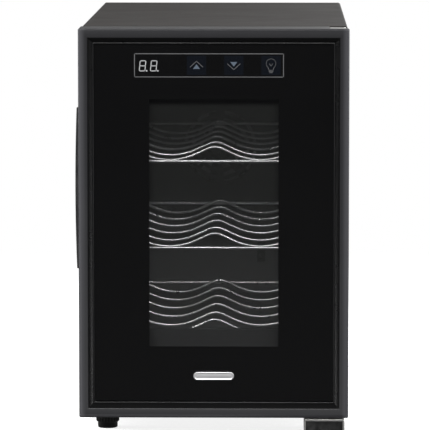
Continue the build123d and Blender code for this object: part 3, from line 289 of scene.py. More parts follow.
def wear_effect(tree, ins):
    """Rubbed edges: where the surface is sharp, broken up by noise."""
    edge = remap(tree, put(tree, "ShaderNodeNewGeometry", {}, "Pointiness"), 0.52, 0.62)
    broken = remap(tree, noise(tree, object_place(tree), ins["Scale"], 6.0), 0.40, 0.66)
    return {"Mask": times(tree, times(tree, edge, broken), ins["Amount"], True)}


def smudge_effect(tree, ins):
    """Wiped, slightly uneven gloss, with finger marks."""
    wipe = noise(tree, stretched(tree, ins["Stretch"]), ins["Scale"], 7.0, Roughness=0.62, Distortion=0.6)
    mask = remap(tree, wipe, 0.35, 0.68)
    swing = times(tree, maths(tree, "SUBTRACT", mask, 0.5), ins["Amount"])
    return {"Roughness": plus(tree, swing, ins["Roughness"], True), "Mask": mask}


def brushed_effect(tree, ins):
    """Long fine scratches that run along one axis."""
    line = noise(tree, stretched(tree, ins["Stretch"]), ins["Scale"], 5.0, Roughness=0.7)
    return {"Height": line, "Mask": remap(tree, line, 0.3, 0.7)}


EFFECTS = {
    "grain": ("surface_grain", grain_effect, {"Scale": 900.0, "Pebble": 0.6, "Stretch": (1, 1, 1)}),
    "drift": ("colour_drift", drift_effect, {"Colour": (0.5, 0.5, 0.5, 1), "Amount": 0.1, "Scale": 9.0}),
    "dust": ("settled_dust", dust_effect, {"Amount": 0.1, "Scale": 60.0}),
    "wear": ("edge_wear", wear_effect, {"Amount": 0.2, "Scale": 120.0}),
    "smudge": ("wiped_gloss", smudge_effect,
               {"Roughness": 0.4, "Amount": 0.1, "Scale": 14.0, "Stretch": (1, 1, 1)}),
    "brushed": ("brushed_marks", brushed_effect, {"Scale": 40.0, "Stretch": (1, 60, 60)}),
}
GROUPS = {}


def effect_group(name, maker, defaults):
    """The node group of one effect."""
    tree = bpy.data.node_groups.new(name, "ShaderNodeTree")
    name_sockets(tree, "INPUT", defaults)
    results = maker(tree, tree.nodes.new("NodeGroupInput").outputs)
    name_sockets(tree, "OUTPUT", {key: COLOUR if key == "Colour" else VALUE for key in results})
    fill(tree, tree.nodes.new("NodeGroupOutput"), results)
    return tree


def use(tree, kind, **values):
    """Places one of the shared effects in a material, with its own values."""
    if kind not in GROUPS:
        GROUPS[kind] = effect_group(*EFFECTS[kind])
    inputs = {key.capitalize(): value for key, value in values.items()}
    made = tree.nodes.new("ShaderNodeGroup")
    made.node_tree = GROUPS[kind]
    fill(tree, made, inputs)
    return made.outputs


# ------------------------------------------------------------------ finishes
def blank(name):
    """A new material with one Principled shader, and that shader."""
    made = bpy.data.materials.new(name)
    made.use_nodes = True
    return made, made.node_tree, made.node_tree.nodes["Principled BSDF"]


def rgba(three, factor=1.0):
    """A colour with its alpha."""
    return (three[0] * factor, three[1] * factor, three[2] * factor, 1.0)


def blend(tree, mask, under, over):
    """One colour laid over another by a mask."""
    return put(tree, "ShaderNodeMix", {0: mask, 6: under, 7: over}, 2, data_type="RGBA")


def drifting(tree, base, amount=0.04, scale=9.0):
    return use(tree, "drift", colour=rgba(base), amount=amount, scale=scale)["Colour"]


def gloss(tree, rough, amount, scale=14.0):
    return use(tree, "smudge", roughness=rough, amount=amount, scale=scale)["Roughness"]


def put_bump(tree, shader, height, depth_mm):
    """Feeds a height to the shader's normal, on top of what is there."""
    values = {"Height": height, "Distance": depth_mm * MM, "Strength": 1.0}
    before = shader.inputs["Normal"].links
    if before:
        values["Normal"] = before[0].from_socket
    fill(tree, shader, {"Normal": put(tree, "ShaderNodeBump", values)})


DUST_GREY = (0.34, 0.33, 0.31)


def finish(
    name, base, rough, metallic=0.0, drift=0.05, drift_scale=9.0, grain=None, brushed=None,
    wipe=0.08, wipe_scale=14.0, dust=0.10, wear=None, coat=0.0, level=0.5, sheen=0.0,
):
    """A solid finish: drifting colour, dust, rubbed edges, wiped gloss, and grain or brushing.

    grain is (scale, pebble share, depth in mm), brushed (scale, stretch, depth), wear (amount, colour)."""
    made, tree, shader = blank(name)
    hue = drifting(tree, base, drift, drift_scale)
    roughness = gloss(tree, rough, wipe, wipe_scale)
    if brushed:
        marks = use(tree, "brushed", scale=brushed[0], stretch=brushed[1])
        hue = blend(tree, times(tree, marks["Mask"], 0.35), hue, rgba(base, 0.72))
        roughness = plus(tree, roughness, times(tree, marks["Mask"], 0.10), True)
        put_bump(tree, shader, marks["Height"], brushed[2])
    if grain:
        pebbles = use(tree, "grain", scale=grain[0], pebble=grain[1])
        hue = blend(tree, times(tree, pebbles["Mask"], 0.22), hue, rgba(base, 1.45))
        put_bump(tree, shader, pebbles["Height"], grain[2])
    if wear:
        hue = blend(tree, use(tree, "wear", amount=wear[0])["Mask"], hue, rgba(wear[1]))
    if dust:
        lies = use(tree, "dust", amount=dust)["Mask"]
        hue = blend(tree, lies, hue, rgba(DUST_GREY))
        roughness = plus(tree, roughness, times(tree, lies, 0.5), True)
    fill(tree, shader, {
        "Base Color": hue, "Roughness": roughness, "Metallic": metallic, "Specular IOR Level": level,
        "Coat Weight": coat, "Coat Roughness": 0.08, "Sheen Weight": sheen,
    })
    return made


def pane(name, tint, alpha, level):
    """Glass that shows what is behind it, with faint wipe marks."""
    made, tree, shader = blank(name)
    wiped = use(tree, "smudge", roughness=0.02, amount=0.05, scale=11.0, stretch=(1.0, 1.0, 0.5))
    fill(tree, shader, {
        "Roughness": wiped["Roughness"], "Alpha": plus(tree, times(tree, wiped["Mask"], 0.02), alpha, True),
        "Base Color": drifting(tree, tint, 0.05, 5.0), "Specular IOR Level": level,
    })
    return made


def bezel_finish(name, base):
    """Satin plastic, darker and glossier on its inner slope beside the glass, with painted shade that deepens
    from the outer edge inwards and a painted highlight along the outer edges of the side rails.
    """
    made, tree, shader = blank(name)
    where = add_node(tree, "ShaderNodeSeparateXYZ", {0: object_place(tree)})
    across = maths(tree, "SUBTRACT", DOOR_HIGH.x, maths(tree, "ABSOLUTE", where["X"]))
    height = maths(tree, "ABSOLUTE", maths(tree, "SUBTRACT", where["Z"], DOOR_MID_Z))
    upward = maths(tree, "SUBTRACT", (DOOR_HIGH.z - DOOR_LOW.z) / 2, height)
    inset = maths(tree, "MINIMUM", across, upward)
    ahead = remap(tree, where["Y"], DOOR_LOW.y + 0.0022, DOOR_LOW.y + 0.0004)
    # Painted highlight: the front of the left and right rails is lightened towards their outer edges.
    rim = times(tree, remap(tree, across, 0.0066, 0.0010), ahead)
    slope = remap(tree, inset, 0.0082, 0.0089)
    # Painted shade: the frame darkens from its outer edge towards the glass, in place of its rounded profile
    # turning away from the light.
    turn = remap(tree, inset, 0.0010, 0.0085)
    grain = use(tree, "grain", scale=2600.0, pebble=0.35)
    hue = blend(tree, times(tree, grain["Mask"], 0.15), drifting(tree, base), rgba(base, 1.35))
    worn = use(tree, "wear", amount=0.3)["Mask"]
    # Lays on the painted shade, the painted highlight, the darker inner slope and the rubbed edges.
    for mask, factor in ((turn, 0.78), (rim, 2.6), (slope, 0.10), (worn, 2.6)):
        hue = blend(tree, mask, hue, rgba(base, factor))
    roughness = maths(tree, "SUBTRACT", gloss(tree, 0.38, 0.07), times(tree, slope, 0.10))
    fill(tree, shader, {"Base Color": hue, "Roughness": roughness, "Specular IOR Level": 0.20})
    put_bump(tree, shader, grain["Height"], 0.008)
    return made


def lit_print(name, base, strength):
    """Translucent ink that is lit from behind, a little unevenly."""
    made, tree, shader = blank(name)
    hue = drifting(tree, base, 0.10, 70.0)
    fill(tree, shader, {
        "Base Color": hue, "Emission Color": hue, "Roughness": gloss(tree, 0.35, 0.1, 40.0),
        "Emission Strength": strength,
    })
    return made


def board_finish(name, base):
    """Solder mask over copper tracks, with bright pads."""
    made, tree, shader = blank(name)
    where = object_place(tree)
    upright = put(tree, "ShaderNodeMapping", {0: where, 2: (math.pi / 2, 0, 0)})
    tracks = put(tree, "ShaderNodeTexBrick", {
        "Vector": upright, "Scale": 90.0, "Mortar Size": 0.035, "Color1": rgba(base),
        "Color2": rgba(base, 0.8), "Mortar": rgba(base, 1.9),
    }, "Color")
    pads = put(tree, "ShaderNodeTexVoronoi", {"Vector": where, "Scale": 240.0}, "Distance")
    hue = blend(tree, remap(tree, pads, 0.17, 0.12), tracks, (0.62, 0.60, 0.55, 1))
    fill(tree, shader, {"Base Color": hue, "Roughness": gloss(tree, 0.28, 0.12, 30.0)})
    return made


def foam_finish(name, base):
    """Cut polyurethane foam: open cells, yellowed unevenly."""
    made, tree, shader = blank(name)
    pebbles = use(tree, "grain", scale=700.0, pebble=0.8)
    hue = drifting(tree, base, 0.12, 14.0)
    hue = blend(tree, times(tree, pebbles["Mask"], 0.5), hue, rgba(base, 0.55))
    fill(tree, shader, {"Base Color": hue, "Roughness": gloss(tree, 0.85, 0.1, 25.0)})
    put_bump(tree, shader, pebbles["Height"], 0.4)
    return made


MATERIALS = {}


def material(key):
    """The finish for a slot or a special piece, made on first use."""
    if key not in MATERIALS:
        MATERIALS[key] = FINISHES[key](bpy.context.scene.cooler_colours)
    return MATERIALS[key]


ALONG_X, ALONG_Z = (1, 60, 60), (60, 60, 1)
FINISHES = {
    "wrap_sheet": lambda c: finish(
        "textured_cabinet_coat", c.wrap, 0.55, level=0.10, drift=0.035, grain=(1500.0, 0.55, 0.045),
        dust=0.02, wear=(0.25, (0.07, 0.065, 0.06))),
    "black_sheet": lambda c: finish(
        "black_back_coat", c.back_sheet, 0.46, grain=(2200.0, 0.4, 0.02), wear=(0.35, (0.18, 0.18, 0.18))),
    "plain_sheet": lambda c: finish(
        "galvanised_sheet", c.galvanised, 0.42, 1.0, drift=0.10, drift_scale=60.0, wipe=0.2),
    "plated_steel": lambda c: finish(
        "zinc_plated_steel", c.plated, 0.30, 1.0, drift=0.08, drift_scale=30.0, wipe=0.14, wipe_scale=40.0,
        brushed=(30.0, ALONG_X, 0.004), dust=0.04, wear=(0.4, (0.8, 0.8, 0.79))),
    "frame_plastic": lambda c: finish(
        "satin_door_plastic", c.frame_plastic, 0.38, level=0.30, drift=0.04, grain=(2600.0, 0.35, 0.008),
        wipe=0.07, dust=0.02, wear=(0.20, (0.12, 0.12, 0.125))),
    "pull": lambda c: finish(
        "pull_plastic", [0.45 * part for part in c.frame_plastic], 0.40, level=0.22,
        grain=(2600.0, 0.4, 0.012), wipe=0.12, wipe_scale=30.0, dust=0.02, wear=(0.3, (0.05, 0.05, 0.05))),
    "door_bezel": lambda c: bezel_finish("door_bezel_plastic", c.frame_plastic),
    "liner_plastic": lambda c: finish(
        "haircell_liner", c.liner, 0.42, grain=(1300.0, 0.6, 0.020), dust=0.03),
    "foam": lambda c: foam_finish("insulation_foam_cells", c.foam),
    "rack_wire": lambda c: finish(
        "chromed_wire", c.chrome, 0.30, 1.0, drift=0.03, drift_scale=40.0, wipe=0.06, wipe_scale=60.0,
        dust=0.02),
    "sink_metal": lambda c: finish(
        "extruded_aluminium", c.aluminium, 0.34, 1.0, drift_scale=25.0, brushed=(26.0, ALONG_Z, 0.006)),
    "peltier": lambda c: finish(
        "white_ceramic", (0.80, 0.80, 0.78), 0.55, drift=0.04, grain=(3000.0, 0.3, 0.01), dust=0.05),
    "tinted_glass": lambda c: pane("tinted_door_glass", (0.004, 0.004, 0.005), 0.12, 0.6),
    "clear_glass": lambda c: pane("clear_inner_glass", (0.046, 0.048, 0.045), 0.19, 0.5),
    "spacer_metal": lambda c: finish(
        "anodised_spacer", (0.035, 0.035, 0.037), 0.40, 0.6, drift=0.06, brushed=(30.0, ALONG_Z, 0.003),
        dust=0.0),
    "bead_trim": lambda c: finish(
        "satin_bead", (0.010, 0.010, 0.0105), 0.34, level=0.3, wipe=0.10, wipe_scale=50.0, dust=0.02),
    "gasket": lambda c: finish(
        "door_seal_rubber", c.rubber, 0.62, drift=0.10, drift_scale=24.0, grain=(2400.0, 0.5, 0.014),
        wipe=0.12, dust=0.16, sheen=0.15),
    "circuit_board": lambda c: board_finish("green_board", c.board),
    "display": lambda c: finish(
        "display_window", (0.006, 0.006, 0.007), 0.12, drift=0.08, wipe=0.05, dust=0.0, coat=0.5),
    "touch_foam": lambda c: finish(
        "touch_pad_foam", (0.055, 0.055, 0.058), 0.8, drift=0.1, grain=(1500.0, 0.8, 0.08), dust=0.0),
    "emblem_metal": lambda c: finish(
        "brushed_emblem", c.emblem, 0.30, 0.85, drift=0.03, brushed=(22.0, ALONG_X, 0.004),
        wipe_scale=60.0, dust=0.0),
    "bush_plastic": lambda c: finish(
        "natural_acetal", (0.70, 0.69, 0.65), 0.40, drift=0.03, grain=(2600.0, 0.3, 0.006), dust=0.04),
    "foot_plastic": lambda c: finish(
        "foot_plastic_black", c.foot, 0.36, level=0.28, drift=0.06, grain=(2400.0, 0.4, 0.012), wipe=0.12,
        wear=(0.4, (0.09, 0.09, 0.09))),
    "nut_metal": lambda c: finish(
        "brass_nut", c.brass, 0.30, 1.0, drift=0.10, drift_scale=50.0, brushed=(40.0, ALONG_Z, 0.004),
        dust=0.04),
    "fan_plastic": lambda c: finish(
        "fan_nylon", (0.020, 0.020, 0.021), 0.38, drift=0.06, grain=(2400.0, 0.4, 0.008), wipe=0.10,
        dust=0.16),
    "lamp_plastic": lambda c: lit_print("milky_lens", (0.72, 0.73, 0.74), 1.2),
    "gland_rubber": lambda c: finish(
        "gland_rubber_black", c.rubber, 0.60, drift=0.08, grain=(2000.0, 0.5, 0.015), dust=0.12),
    "screw_metal": lambda c: finish(
        "blued_screw_steel", (0.50, 0.50, 0.49), 0.30, 1.0, drift=0.08, drift_scale=80.0, wipe=0.12,
        wipe_scale=90.0, grain=(3000.0, 0.3, 0.004), dust=0.03),
    "border": lambda c: finish(
        "printed_glass_border", c.border, 0.10, drift=0.10, drift_scale=30.0, wipe=0.04, dust=0.0),
    "touch_zone": lambda c: finish(
        "touch_zone_ink", (0.0022, 0.0036, 0.0068), 0.14, drift=0.12, drift_scale=60.0, wipe=0.05, dust=0.0),
    "symbols": lambda c: lit_print("panel_symbols", c.symbols, 0.06),
    "digits": lambda c: lit_print("display_digits", c.digits, 0.28),
    "arrows": lambda c: lit_print("arrow_ink", (0.050, 0.066, 0.088), 0.90),
}


# ------------------------------------------------------------------ mesh building
SQUARE = ((1, 1), (-1, 1), (-1, -1), (1, -1))
BEVEL_STEPS = 2


def link(name, mesh):
    """An object for a mesh, in the scene."""
    made = bpy.data.objects.new(name, mesh)
    bpy.context.scene.collection.objects.link(made)
    return made


def close_mesh(mesh, bm):
    """Writes a bmesh to a mesh with its faces outwards."""
    bmesh.ops.recalc_face_normals(bm, faces=bm.faces)
    bm.to_mesh(mesh)
    bm.free()
    return mesh


def from_bmesh(name, bm):
    """An object from a bmesh, with its doubles merged and its faces outwards."""
    bmesh.ops.remove_doubles(bm, verts=bm.verts, dist=1e-7)
    return link(name, close_mesh(bpy.data.meshes.new(name), bm))


def freeze(made):
    """Makes what the modifiers show the object's own plain mesh."""
    graph = bpy.context.evaluated_depsgraph_get()
    shown = bpy.data.meshes.new_from_object(made.evaluated_get(graph))
    made.modifiers.clear()
    before = made.data
    made.data = shown
    bpy.data.meshes.remove(before)
    shown.name = made.name
    return made


def soften(made, width, angle=38.0, clamp=False, rolled=False):
    """Rounds the sharp edges, and shades them smooth. A rolled piece blends between its facets too."""
    bevel = made.modifiers.new("rounded edges", "BEVEL")
    bevel.width = width
    bevel.segments = BEVEL_STEPS
    bevel.limit_method = "ANGLE"
    bevel.angle_limit = math.radians(angle)
    bevel.use_clamp_overlap = clamp
    made.data.shade_smooth()
    if not rolled:
        even = made.modifiers.new("even shading", "WEIGHTED_NORMAL")
        even.keep_sharp = True
        even.weight = 60
    return freeze(made)


def dress(made, key, body, nodes=()):
    """Gives a finished piece its material, its body and what it stands for."""
    made.data.materials.clear()
    made.data.materials.append(material(key))
    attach(made, body)
    if nodes:
        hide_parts(*nodes)
    return made


def stand_for(made, node, sharp=None, key=None):
    """Dresses a piece as the CAD node it stands for, smooth between its sharp edges."""
    if sharp:
        made.data.shade_smooth()
        made.data.set_sharp_from_angle(angle=math.radians(sharp))
    slot = SLOT_OF[node]
    return dress(made, key or slot, BODY_OF[node], [node])


def merged_copy(node, name):
    """A copy of a CAD node's mesh with its loose triangles joined into flat faces."""
    bm = bmesh.new()
    bm.from_mesh(frame["nodes"][node].data)
    bmesh.ops.remove_doubles(bm, verts=bm.verts, dist=2e-6)
    bmesh.ops.dissolve_limit(
        bm, angle_limit=math.radians(0.6), verts=bm.verts, edges=bm.edges, delimit=set()
    )
    mesh = bpy.data.meshes.new(name)
    bm.to_mesh(mesh)
    bm.free()
    return link(name, mesh)


def rounded_piece(node, name, width, angle=38.0):
    """Stands for a CAD node with the same shape and rounded edges."""
    return stand_for(soften(merged_copy(node, name), width, angle), node)


def coat_nodes(*nodes):
    """Gives CAD nodes whose shape is right their finish."""
    for node in nodes:
        slots = frame["nodes"][node].data.materials
        if not slots:
            slots.append(None)
        for i in range(len(slots)):
            slots[i] = material(SLOT_OF[node])


def bridge(bm, first, second):
    """Faces between two closed rings of vertices. A ring of one vertex is a tip."""
    for i in range(max(len(first), len(second))):
        around = ((first, i), (first, i + 1), (second, i + 1), (second, i))
        corners = [ring[k % len(ring)] for ring, k in around]
        bm.faces.new(list(dict.fromkeys(corners)))


def ring_sweep(name, profile, low, high, radius, steps):
    """Sweeps a closed profile of (inset, depth) points round the upright rounded rectangle of a box."""
    half_w, half_h, mid_z = (high.x - low.x) / 2, (high.z - low.z) / 2, (high.z + low.z) / 2
    bm = bmesh.new()
    rings = []
    for quarter, (sx, sz) in enumerate(SQUARE):
        for step in range(steps + 1):
            turn = math.radians(90 * quarter + 90 * step / steps)
            out = Vector((math.cos(turn), 0, math.sin(turn)))
            centre = Vector((sx * (half_w - radius), 0, mid_z + sz * (half_h - radius)))
            rings.append([
                bm.verts.new(centre + out * (radius - inset) + Vector((0, depth, 0)))
                for inset, depth in profile
            ])
    for i, ring in enumerate(rings):
        bridge(bm, ring, rings[(i + 1) % len(rings)])
    return from_bmesh(name, bm)


def flat_plate(name, outlines, y_front, y_back):
    """Thin upright plates from closed (x, z) outlines in metres, each a convex shape."""
    bm = bmesh.new()
    for outline in outlines:
        front, back = ([bm.verts.new((x, y, z)) for x, z in outline] for y in (y_front, y_back))
        bm.faces.new(front)
        bm.faces.new(list(reversed(back)))
        bridge(bm, front, back)
    return link(name, close_mesh(bpy.data.meshes.new(name), bm))


def bar_outline(a, b, width):
    """The outline of a straight stroke from a to b."""
    side = (b - a).normalized().orthogonal() * width / 2
    return [tuple(a + side), tuple(b + side), tuple(b - side), tuple(a - side)]


def stroke(points, width, closed=False):
    """Outlines of the straight strokes through a row of points, which overlap at their ends."""
    pairs = list(zip(points, points[1:])) + ([(points[-1], points[0])] if closed else [])
    made = []
    for a, b in pairs:
        along = (Vector(b) - Vector(a)).normalized() * width / 2
        made.append(bar_outline(Vector(a) - along, Vector(b) + along, width))
    return made


def arc(mid, radius, start, end, steps):
    """Points on a flat arc, angles in degrees."""
    turns = [math.radians(start + (end - start) * i / steps) for i in range(steps + 1)]
    return [(mid[0] + radius * math.cos(turn), mid[1] + radius * math.sin(turn)) for turn in turns]


def lathe(bm, profile, place, sides=24, closed=False, axis="Y"):
    """Turns a profile of (radius, height) points about an axis through place, starting there."""
    rings = []
    for radius, height in profile:
        turns = [math.tau * i / sides for i in range(sides)] if radius else [0.0]
        rings.append([
            bm.verts.new(place + axis_point(axis, radius * math.cos(t), radius * math.sin(t), height))
            for t in turns
        ])
    for first, second in list(zip(rings, rings[1:])) + ([(rings[-1], rings[0])] if closed else []):
        bridge(bm, first, second)


def axis_point(axis, across, up, along):
    """A point in a frame whose own axis is Y or Z."""
    return Vector((across, along, up) if axis == "Y" else (across, up, along))


def add_turned(made, profile, place, **options):
    """Adds a turned body to a piece's mesh."""
    bm = bmesh.new()
    bm.from_mesh(made.data)
    lathe(bm, profile, place, **options)
    close_mesh(made.data, bm)


# ------------------------------------------------------------------ geometry nodes
def grow(name, tree, mesh, values):
    """Runs a tree on a mesh and keeps the result as one plain mesh. values go by input name."""
    made = link(name, mesh)
    modifier = made.modifiers.new("build", "NODES")
    modifier.node_group = tree
    for item in tree.interface.items_tree:
        if item.item_type == "SOCKET" and item.in_out == "INPUT" and item.name in values:
            modifier[item.identifier] = values[item.name]
    return freeze(made)


def new_tree(name, ins):
    """A Geometry Nodes tree with a mesh in, a mesh out and named inputs."""
    tree = bpy.data.node_groups.new(name, "GeometryNodeTree")
    name_sockets(tree, "INPUT", {"Geometry": GEOMETRY, **ins})
    name_sockets(tree, "OUTPUT", {"Geometry": GEOMETRY})
    return tree, tree.nodes.new("NodeGroupInput").outputs


def close_tree(tree, parts, finish_socket):
    """Joins the parts, realizes them, shades them smooth and sets their material."""
    joined = put(tree, "GeometryNodeJoinGeometry", {"Geometry": parts})
    real = put(tree, "GeometryNodeRealizeInstances", {"Geometry": joined})
    shaded = put(tree, "GeometryNodeSetShadeSmooth", {"Geometry": real, "Shade Smooth": True})
    coated = put(tree, "GeometryNodeSetMaterial", {"Geometry": shaded, "Material": finish_socket})
    fill(tree, tree.nodes.new("NodeGroupOutput"), {"Geometry": coated})
    return tree


def on_points(tree, points, instance, **more):
    """One instance on every point."""
    return put(tree, "GeometryNodeInstanceOnPoints", {"Points": points, "Instance": instance, **more})


def vector(tree, **parts):
    return put(tree, "ShaderNodeCombineXYZ", parts)


def circle(tree, sides):
    return put(tree, "GeometryNodeCurvePrimitiveCircle", {"Resolution": sides, "Radius": 1.0})


def wire(tree, curve, profile, radius, caps=False):
    """Round wire of a radius along curves."""
    return put(tree, "GeometryNodeCurveToMesh", {
        "Curve": curve, "Profile Curve": profile, "Scale": radius, "Fill Caps": caps})


def named(tree, name, kind):
    return put(tree, "GeometryNodeInputNamedAttribute", {"Name": name}, data_type=kind)


def rack_tree():
    """Bars, rails and a row of wave wires, as round wire along bent paths."""
    tree, ins = new_tree("wire_rack", {
        "Wave count": 6, "First gap": 0.052, "Wave pitch": 0.064, "Wave radius": 0.0014, "Wire sides": 20,
        "Bend steps": 12, "Finish": FINISH,
    })
    split = add_node(tree, "GeometryNodeSeparateGeometry", {
        "Geometry": ins["Geometry"], "Selection": named(tree, "is_wave", "BOOLEAN")})

    def bent_wires(paths, radius):
        bent = put(tree, "GeometryNodeFilletCurve", {
            "Curve": put(tree, "GeometryNodeMeshToCurve", {"Mesh": paths}), "Count": ins["Bend steps"],
            "Radius": named(tree, "bend", "FLOAT"), "Limit Radius": True,
        }, mode="POLY")
        return wire(tree, bent, circle(tree, ins["Wire sides"]), radius, True)

    bars = bent_wires(split["Inverted"], named(tree, "wire_radius", "FLOAT"))
    wave = bent_wires(split["Selection"], ins["Wave radius"])
    index = put(tree, "GeometryNodeInputIndex", {})
    after_first = maths(tree, "MINIMUM", index, 1.0)
    rest = maths(tree, "MAXIMUM", maths(tree, "SUBTRACT", index, 1.0), 0.0)
    depth = plus(tree, times(tree, after_first, ins["First gap"]), times(tree, rest, ins["Wave pitch"]))
    placed = put(tree, "GeometryNodeSetPosition", {
        "Geometry": put(tree, "GeometryNodeMeshLine", {"Count": ins["Wave count"]}),
        "Position": vector(tree, Y=depth),
    })
    return close_tree(tree, [bars, on_points(tree, placed, wave)], ins["Finish"])


def guard_tree():
    """Round wire rings on a centre, held by four radial wires."""
    tree, ins = new_tree("fan_guard_wires", {
        "Ring count": 5, "First ring": 0.012, "Ring pitch": 0.008, "Ring wire": 0.0010,
        "Spoke wire": 0.0009, "Spoke start": 0.0114, "Spoke end": 0.0577, "Spoke step": -0.0014,
        "Finish": FINISH,
    })
    profile = circle(tree, 12)
    index = put(tree, "GeometryNodeInputIndex", {})
    radius = plus(tree, times(tree, index, ins["Ring pitch"]), ins["First ring"])
    still = put(tree, "GeometryNodeMeshLine", {"Count": ins["Ring count"], "Offset": (0, 0, 0)})
    upright = put(tree, "GeometryNodeTransform", {
        "Geometry": circle(tree, 96), "Rotation": (math.pi / 2, 0, 0)})
    paths = put(tree, "GeometryNodeRealizeInstances", {
        "Geometry": on_points(tree, still, upright, Scale=radius)})
    rings = wire(tree, paths, profile, ins["Ring wire"])
    line = put(tree, "GeometryNodeCurvePrimitiveLine", {
        "Start": vector(tree, X=ins["Spoke start"], Y=ins["Spoke step"]),
        "End": vector(tree, X=ins["Spoke end"], Y=ins["Spoke step"]),
    })
    spoke = wire(tree, line, profile, ins["Spoke wire"], True)
    four = put(tree, "GeometryNodeMeshLine", {"Count": 4, "Offset": (0, 0, 0)})
    turn = plus(tree, times(tree, index, math.pi / 2), math.pi / 4)
    spokes = on_points(tree, four, spoke, Rotation=vector(tree, Y=turn))
    all_wires = put(tree, "GeometryNodeJoinGeometry", {"Geometry": [rings, spokes]})
    real = put(tree, "GeometryNodeRealizeInstances", {"Geometry": all_wires})
    return close_tree(tree, [real, ins["Geometry"]], ins["Finish"])


def scatter_tree(name):
    """Places one shape at every point of the input mesh."""
    tree, ins = new_tree(name, {"Shape": "NodeSocketObject", "Finish": FINISH})
    shape = put(tree, "GeometryNodeObjectInfo", {"Object": ins["Shape"]}, "Geometry")
    return close_tree(tree, [on_points(tree, ins["Geometry"], shape)], ins["Finish"])


def polar_tree(name):
    """Repeats the input mesh about an axis through a centre."""
    tree, ins = new_tree(name, {"Count": 24, "Centre": (0, 0, 0), "Axis": (0, 0, 1), "Finish": FINISH})
    line = put(tree, "GeometryNodeMeshLine", {"Count": ins["Count"]})
    marks = put(tree, "GeometryNodeSetPosition", {"Geometry": line, "Position": ins["Centre"]})
    index = put(tree, "GeometryNodeInputIndex", {})
    turn = maths(tree, "DIVIDE", times(tree, index, math.tau), ins["Count"])
    spin = scaled(tree, ins["Axis"], turn)
    return close_tree(tree, [on_points(tree, marks, ins["Geometry"], Rotation=spin)], ins["Finish"])


def points_mesh(name, places):
    """A mesh of loose points."""
    mesh = bpy.data.meshes.new(name)
    mesh.from_pydata(places, [], [])
    return mesh


def paths_mesh(name, paths):
    """Wire paths as loose edges. Each path is (points, bend radii, wire radius, is a wave)."""
    verts, edges = [], []
    marks = {"bend": ("FLOAT", []), "wire_radius": ("FLOAT", []), "is_wave": ("BOOLEAN", [])}
    for points, bend, radius, wave in paths:
        edges += [(len(verts) + i, len(verts) + i + 1) for i in range(len(points) - 1)]
        verts += points
        marks["bend"][1].extend(bend)
        marks["wire_radius"][1].extend([radius] * len(points))
        marks["is_wave"][1].extend([wave] * len(points))
    mesh = bpy.data.meshes.new(name)
    mesh.from_pydata(verts, edges, [])
    for label, (kind, values) in marks.items():
        mesh.attributes.new(label, kind, "POINT").data.foreach_set("value", values)
    return mesh


# ------------------------------------------------------------------ operators
class Builder:
    """What every piece's operator shares."""

    bl_options = {"REGISTER", "UNDO"}

    def execute(self, context):
        self.build(context.scene.cooler_sizes)
        return {"FINISHED"}


class COOLER_OT_shell(Builder, bpy.types.Operator):
    """Cabinet sheet, base pan, hidden back panel and rear cover"""

    bl_idname = "cooler.shell"
    bl_label = "Cabinet shell"

    def build(self, sizes):
        rounded_piece("outer_wrap", "cabinet_wrap", sizes.sheet_edge)
        rounded_piece("base_pan", "base_tray", sizes.sheet_edge)
        rounded_piece("rear_cover", "vented_rear_cover", sizes.sheet_edge, 50)
        coat_nodes("back_panel", "insulation_foam")


class COOLER_OT_cavity(Builder, bpy.types.Operator):
    """Mouth frame, liner, fan cover, lamp and sensor"""

    bl_idname = "cooler.cavity"
    bl_label = "Cavity"

    def build(self, sizes):
        rounded_piece("mouth_frame", "cavity_mouth", sizes.mould_edge)
        coat_nodes("inner_liner", "lamp_lens", "lamp_board", "temperature_sensor")
        rounded_piece("duct_cover", "fan_grille_cover", sizes.sheet_edge, 50)


class COOLER_OT_racks(Builder, bpy.types.Operator):
    """Three racks of bars, rails and wave wires"""

    bl_idname = "cooler.racks"
    bl_label = "Wire racks"

    def build(self, sizes):
        tree = rack_tree()
        for node in RACKS:
            low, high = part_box(node)
            made = grow(node + "_wires", tree, paths_mesh(node + "_paths", self.paths(low, high, sizes)), {
                "Wave count": sizes.wave_count, "First gap": sizes.wave_first_gap,
                "Wave pitch": sizes.wave_pitch, "Wave radius": sizes.wire_radius,
                "Finish": material("rack_wire"),
            })
            stand_for(made, node, 50)

    def paths(self, low, high, sizes):
        """The wires' paths: front bar, rear bar, two rails and one wave."""
        rail_rise, hook_inset, hook_bend, wave_inset, wave_reach = 0.0102, 0.011, 0.005, 0.0062, 0.0006
        bar_z = low.z + sizes.bar_radius
        rail_z = bar_z + rail_rise
        front_y, rear_y = low.y + sizes.rail_radius, high.y - sizes.rail_radius
        rail_x = high.x - sizes.rail_radius
        hook_x, end_x, valley_x = rail_x - hook_inset, rail_x + wave_reach, rail_x / 2
        wave_y = front_y + wave_inset
        front = [(-rail_x, front_y, rail_z), (-hook_x, front_y, bar_z), (hook_x, front_y, bar_z),
                 (rail_x, front_y, rail_z)]
        paths = [
            (front, [0.0, hook_bend, hook_bend, 0.0], sizes.bar_radius, False),
            ([(-rail_x, rear_y, rail_z), (rail_x, rear_y, rail_z)], [0.0, 0.0], sizes.bar_radius, False),
        ]
        for side in (-rail_x, rail_x):
            rail = [(side, low.y, rail_z), (side, high.y, rail_z)]
            paths.append((rail, [0.0, 0.0], sizes.rail_radius, False))
        wave = [(x, wave_y, bar_z + rise) for x, rise in (
            (-end_x, sizes.end_rise), (-valley_x, -sizes.valley_drop), (0, sizes.peak_rise),
            (valley_x, -sizes.valley_drop), (end_x, sizes.end_rise))]
        bends = [0.0, sizes.valley_bend, sizes.peak_bend, sizes.valley_bend, 0.0]
        return paths + [(wave, bends, sizes.wire_radius, True)]


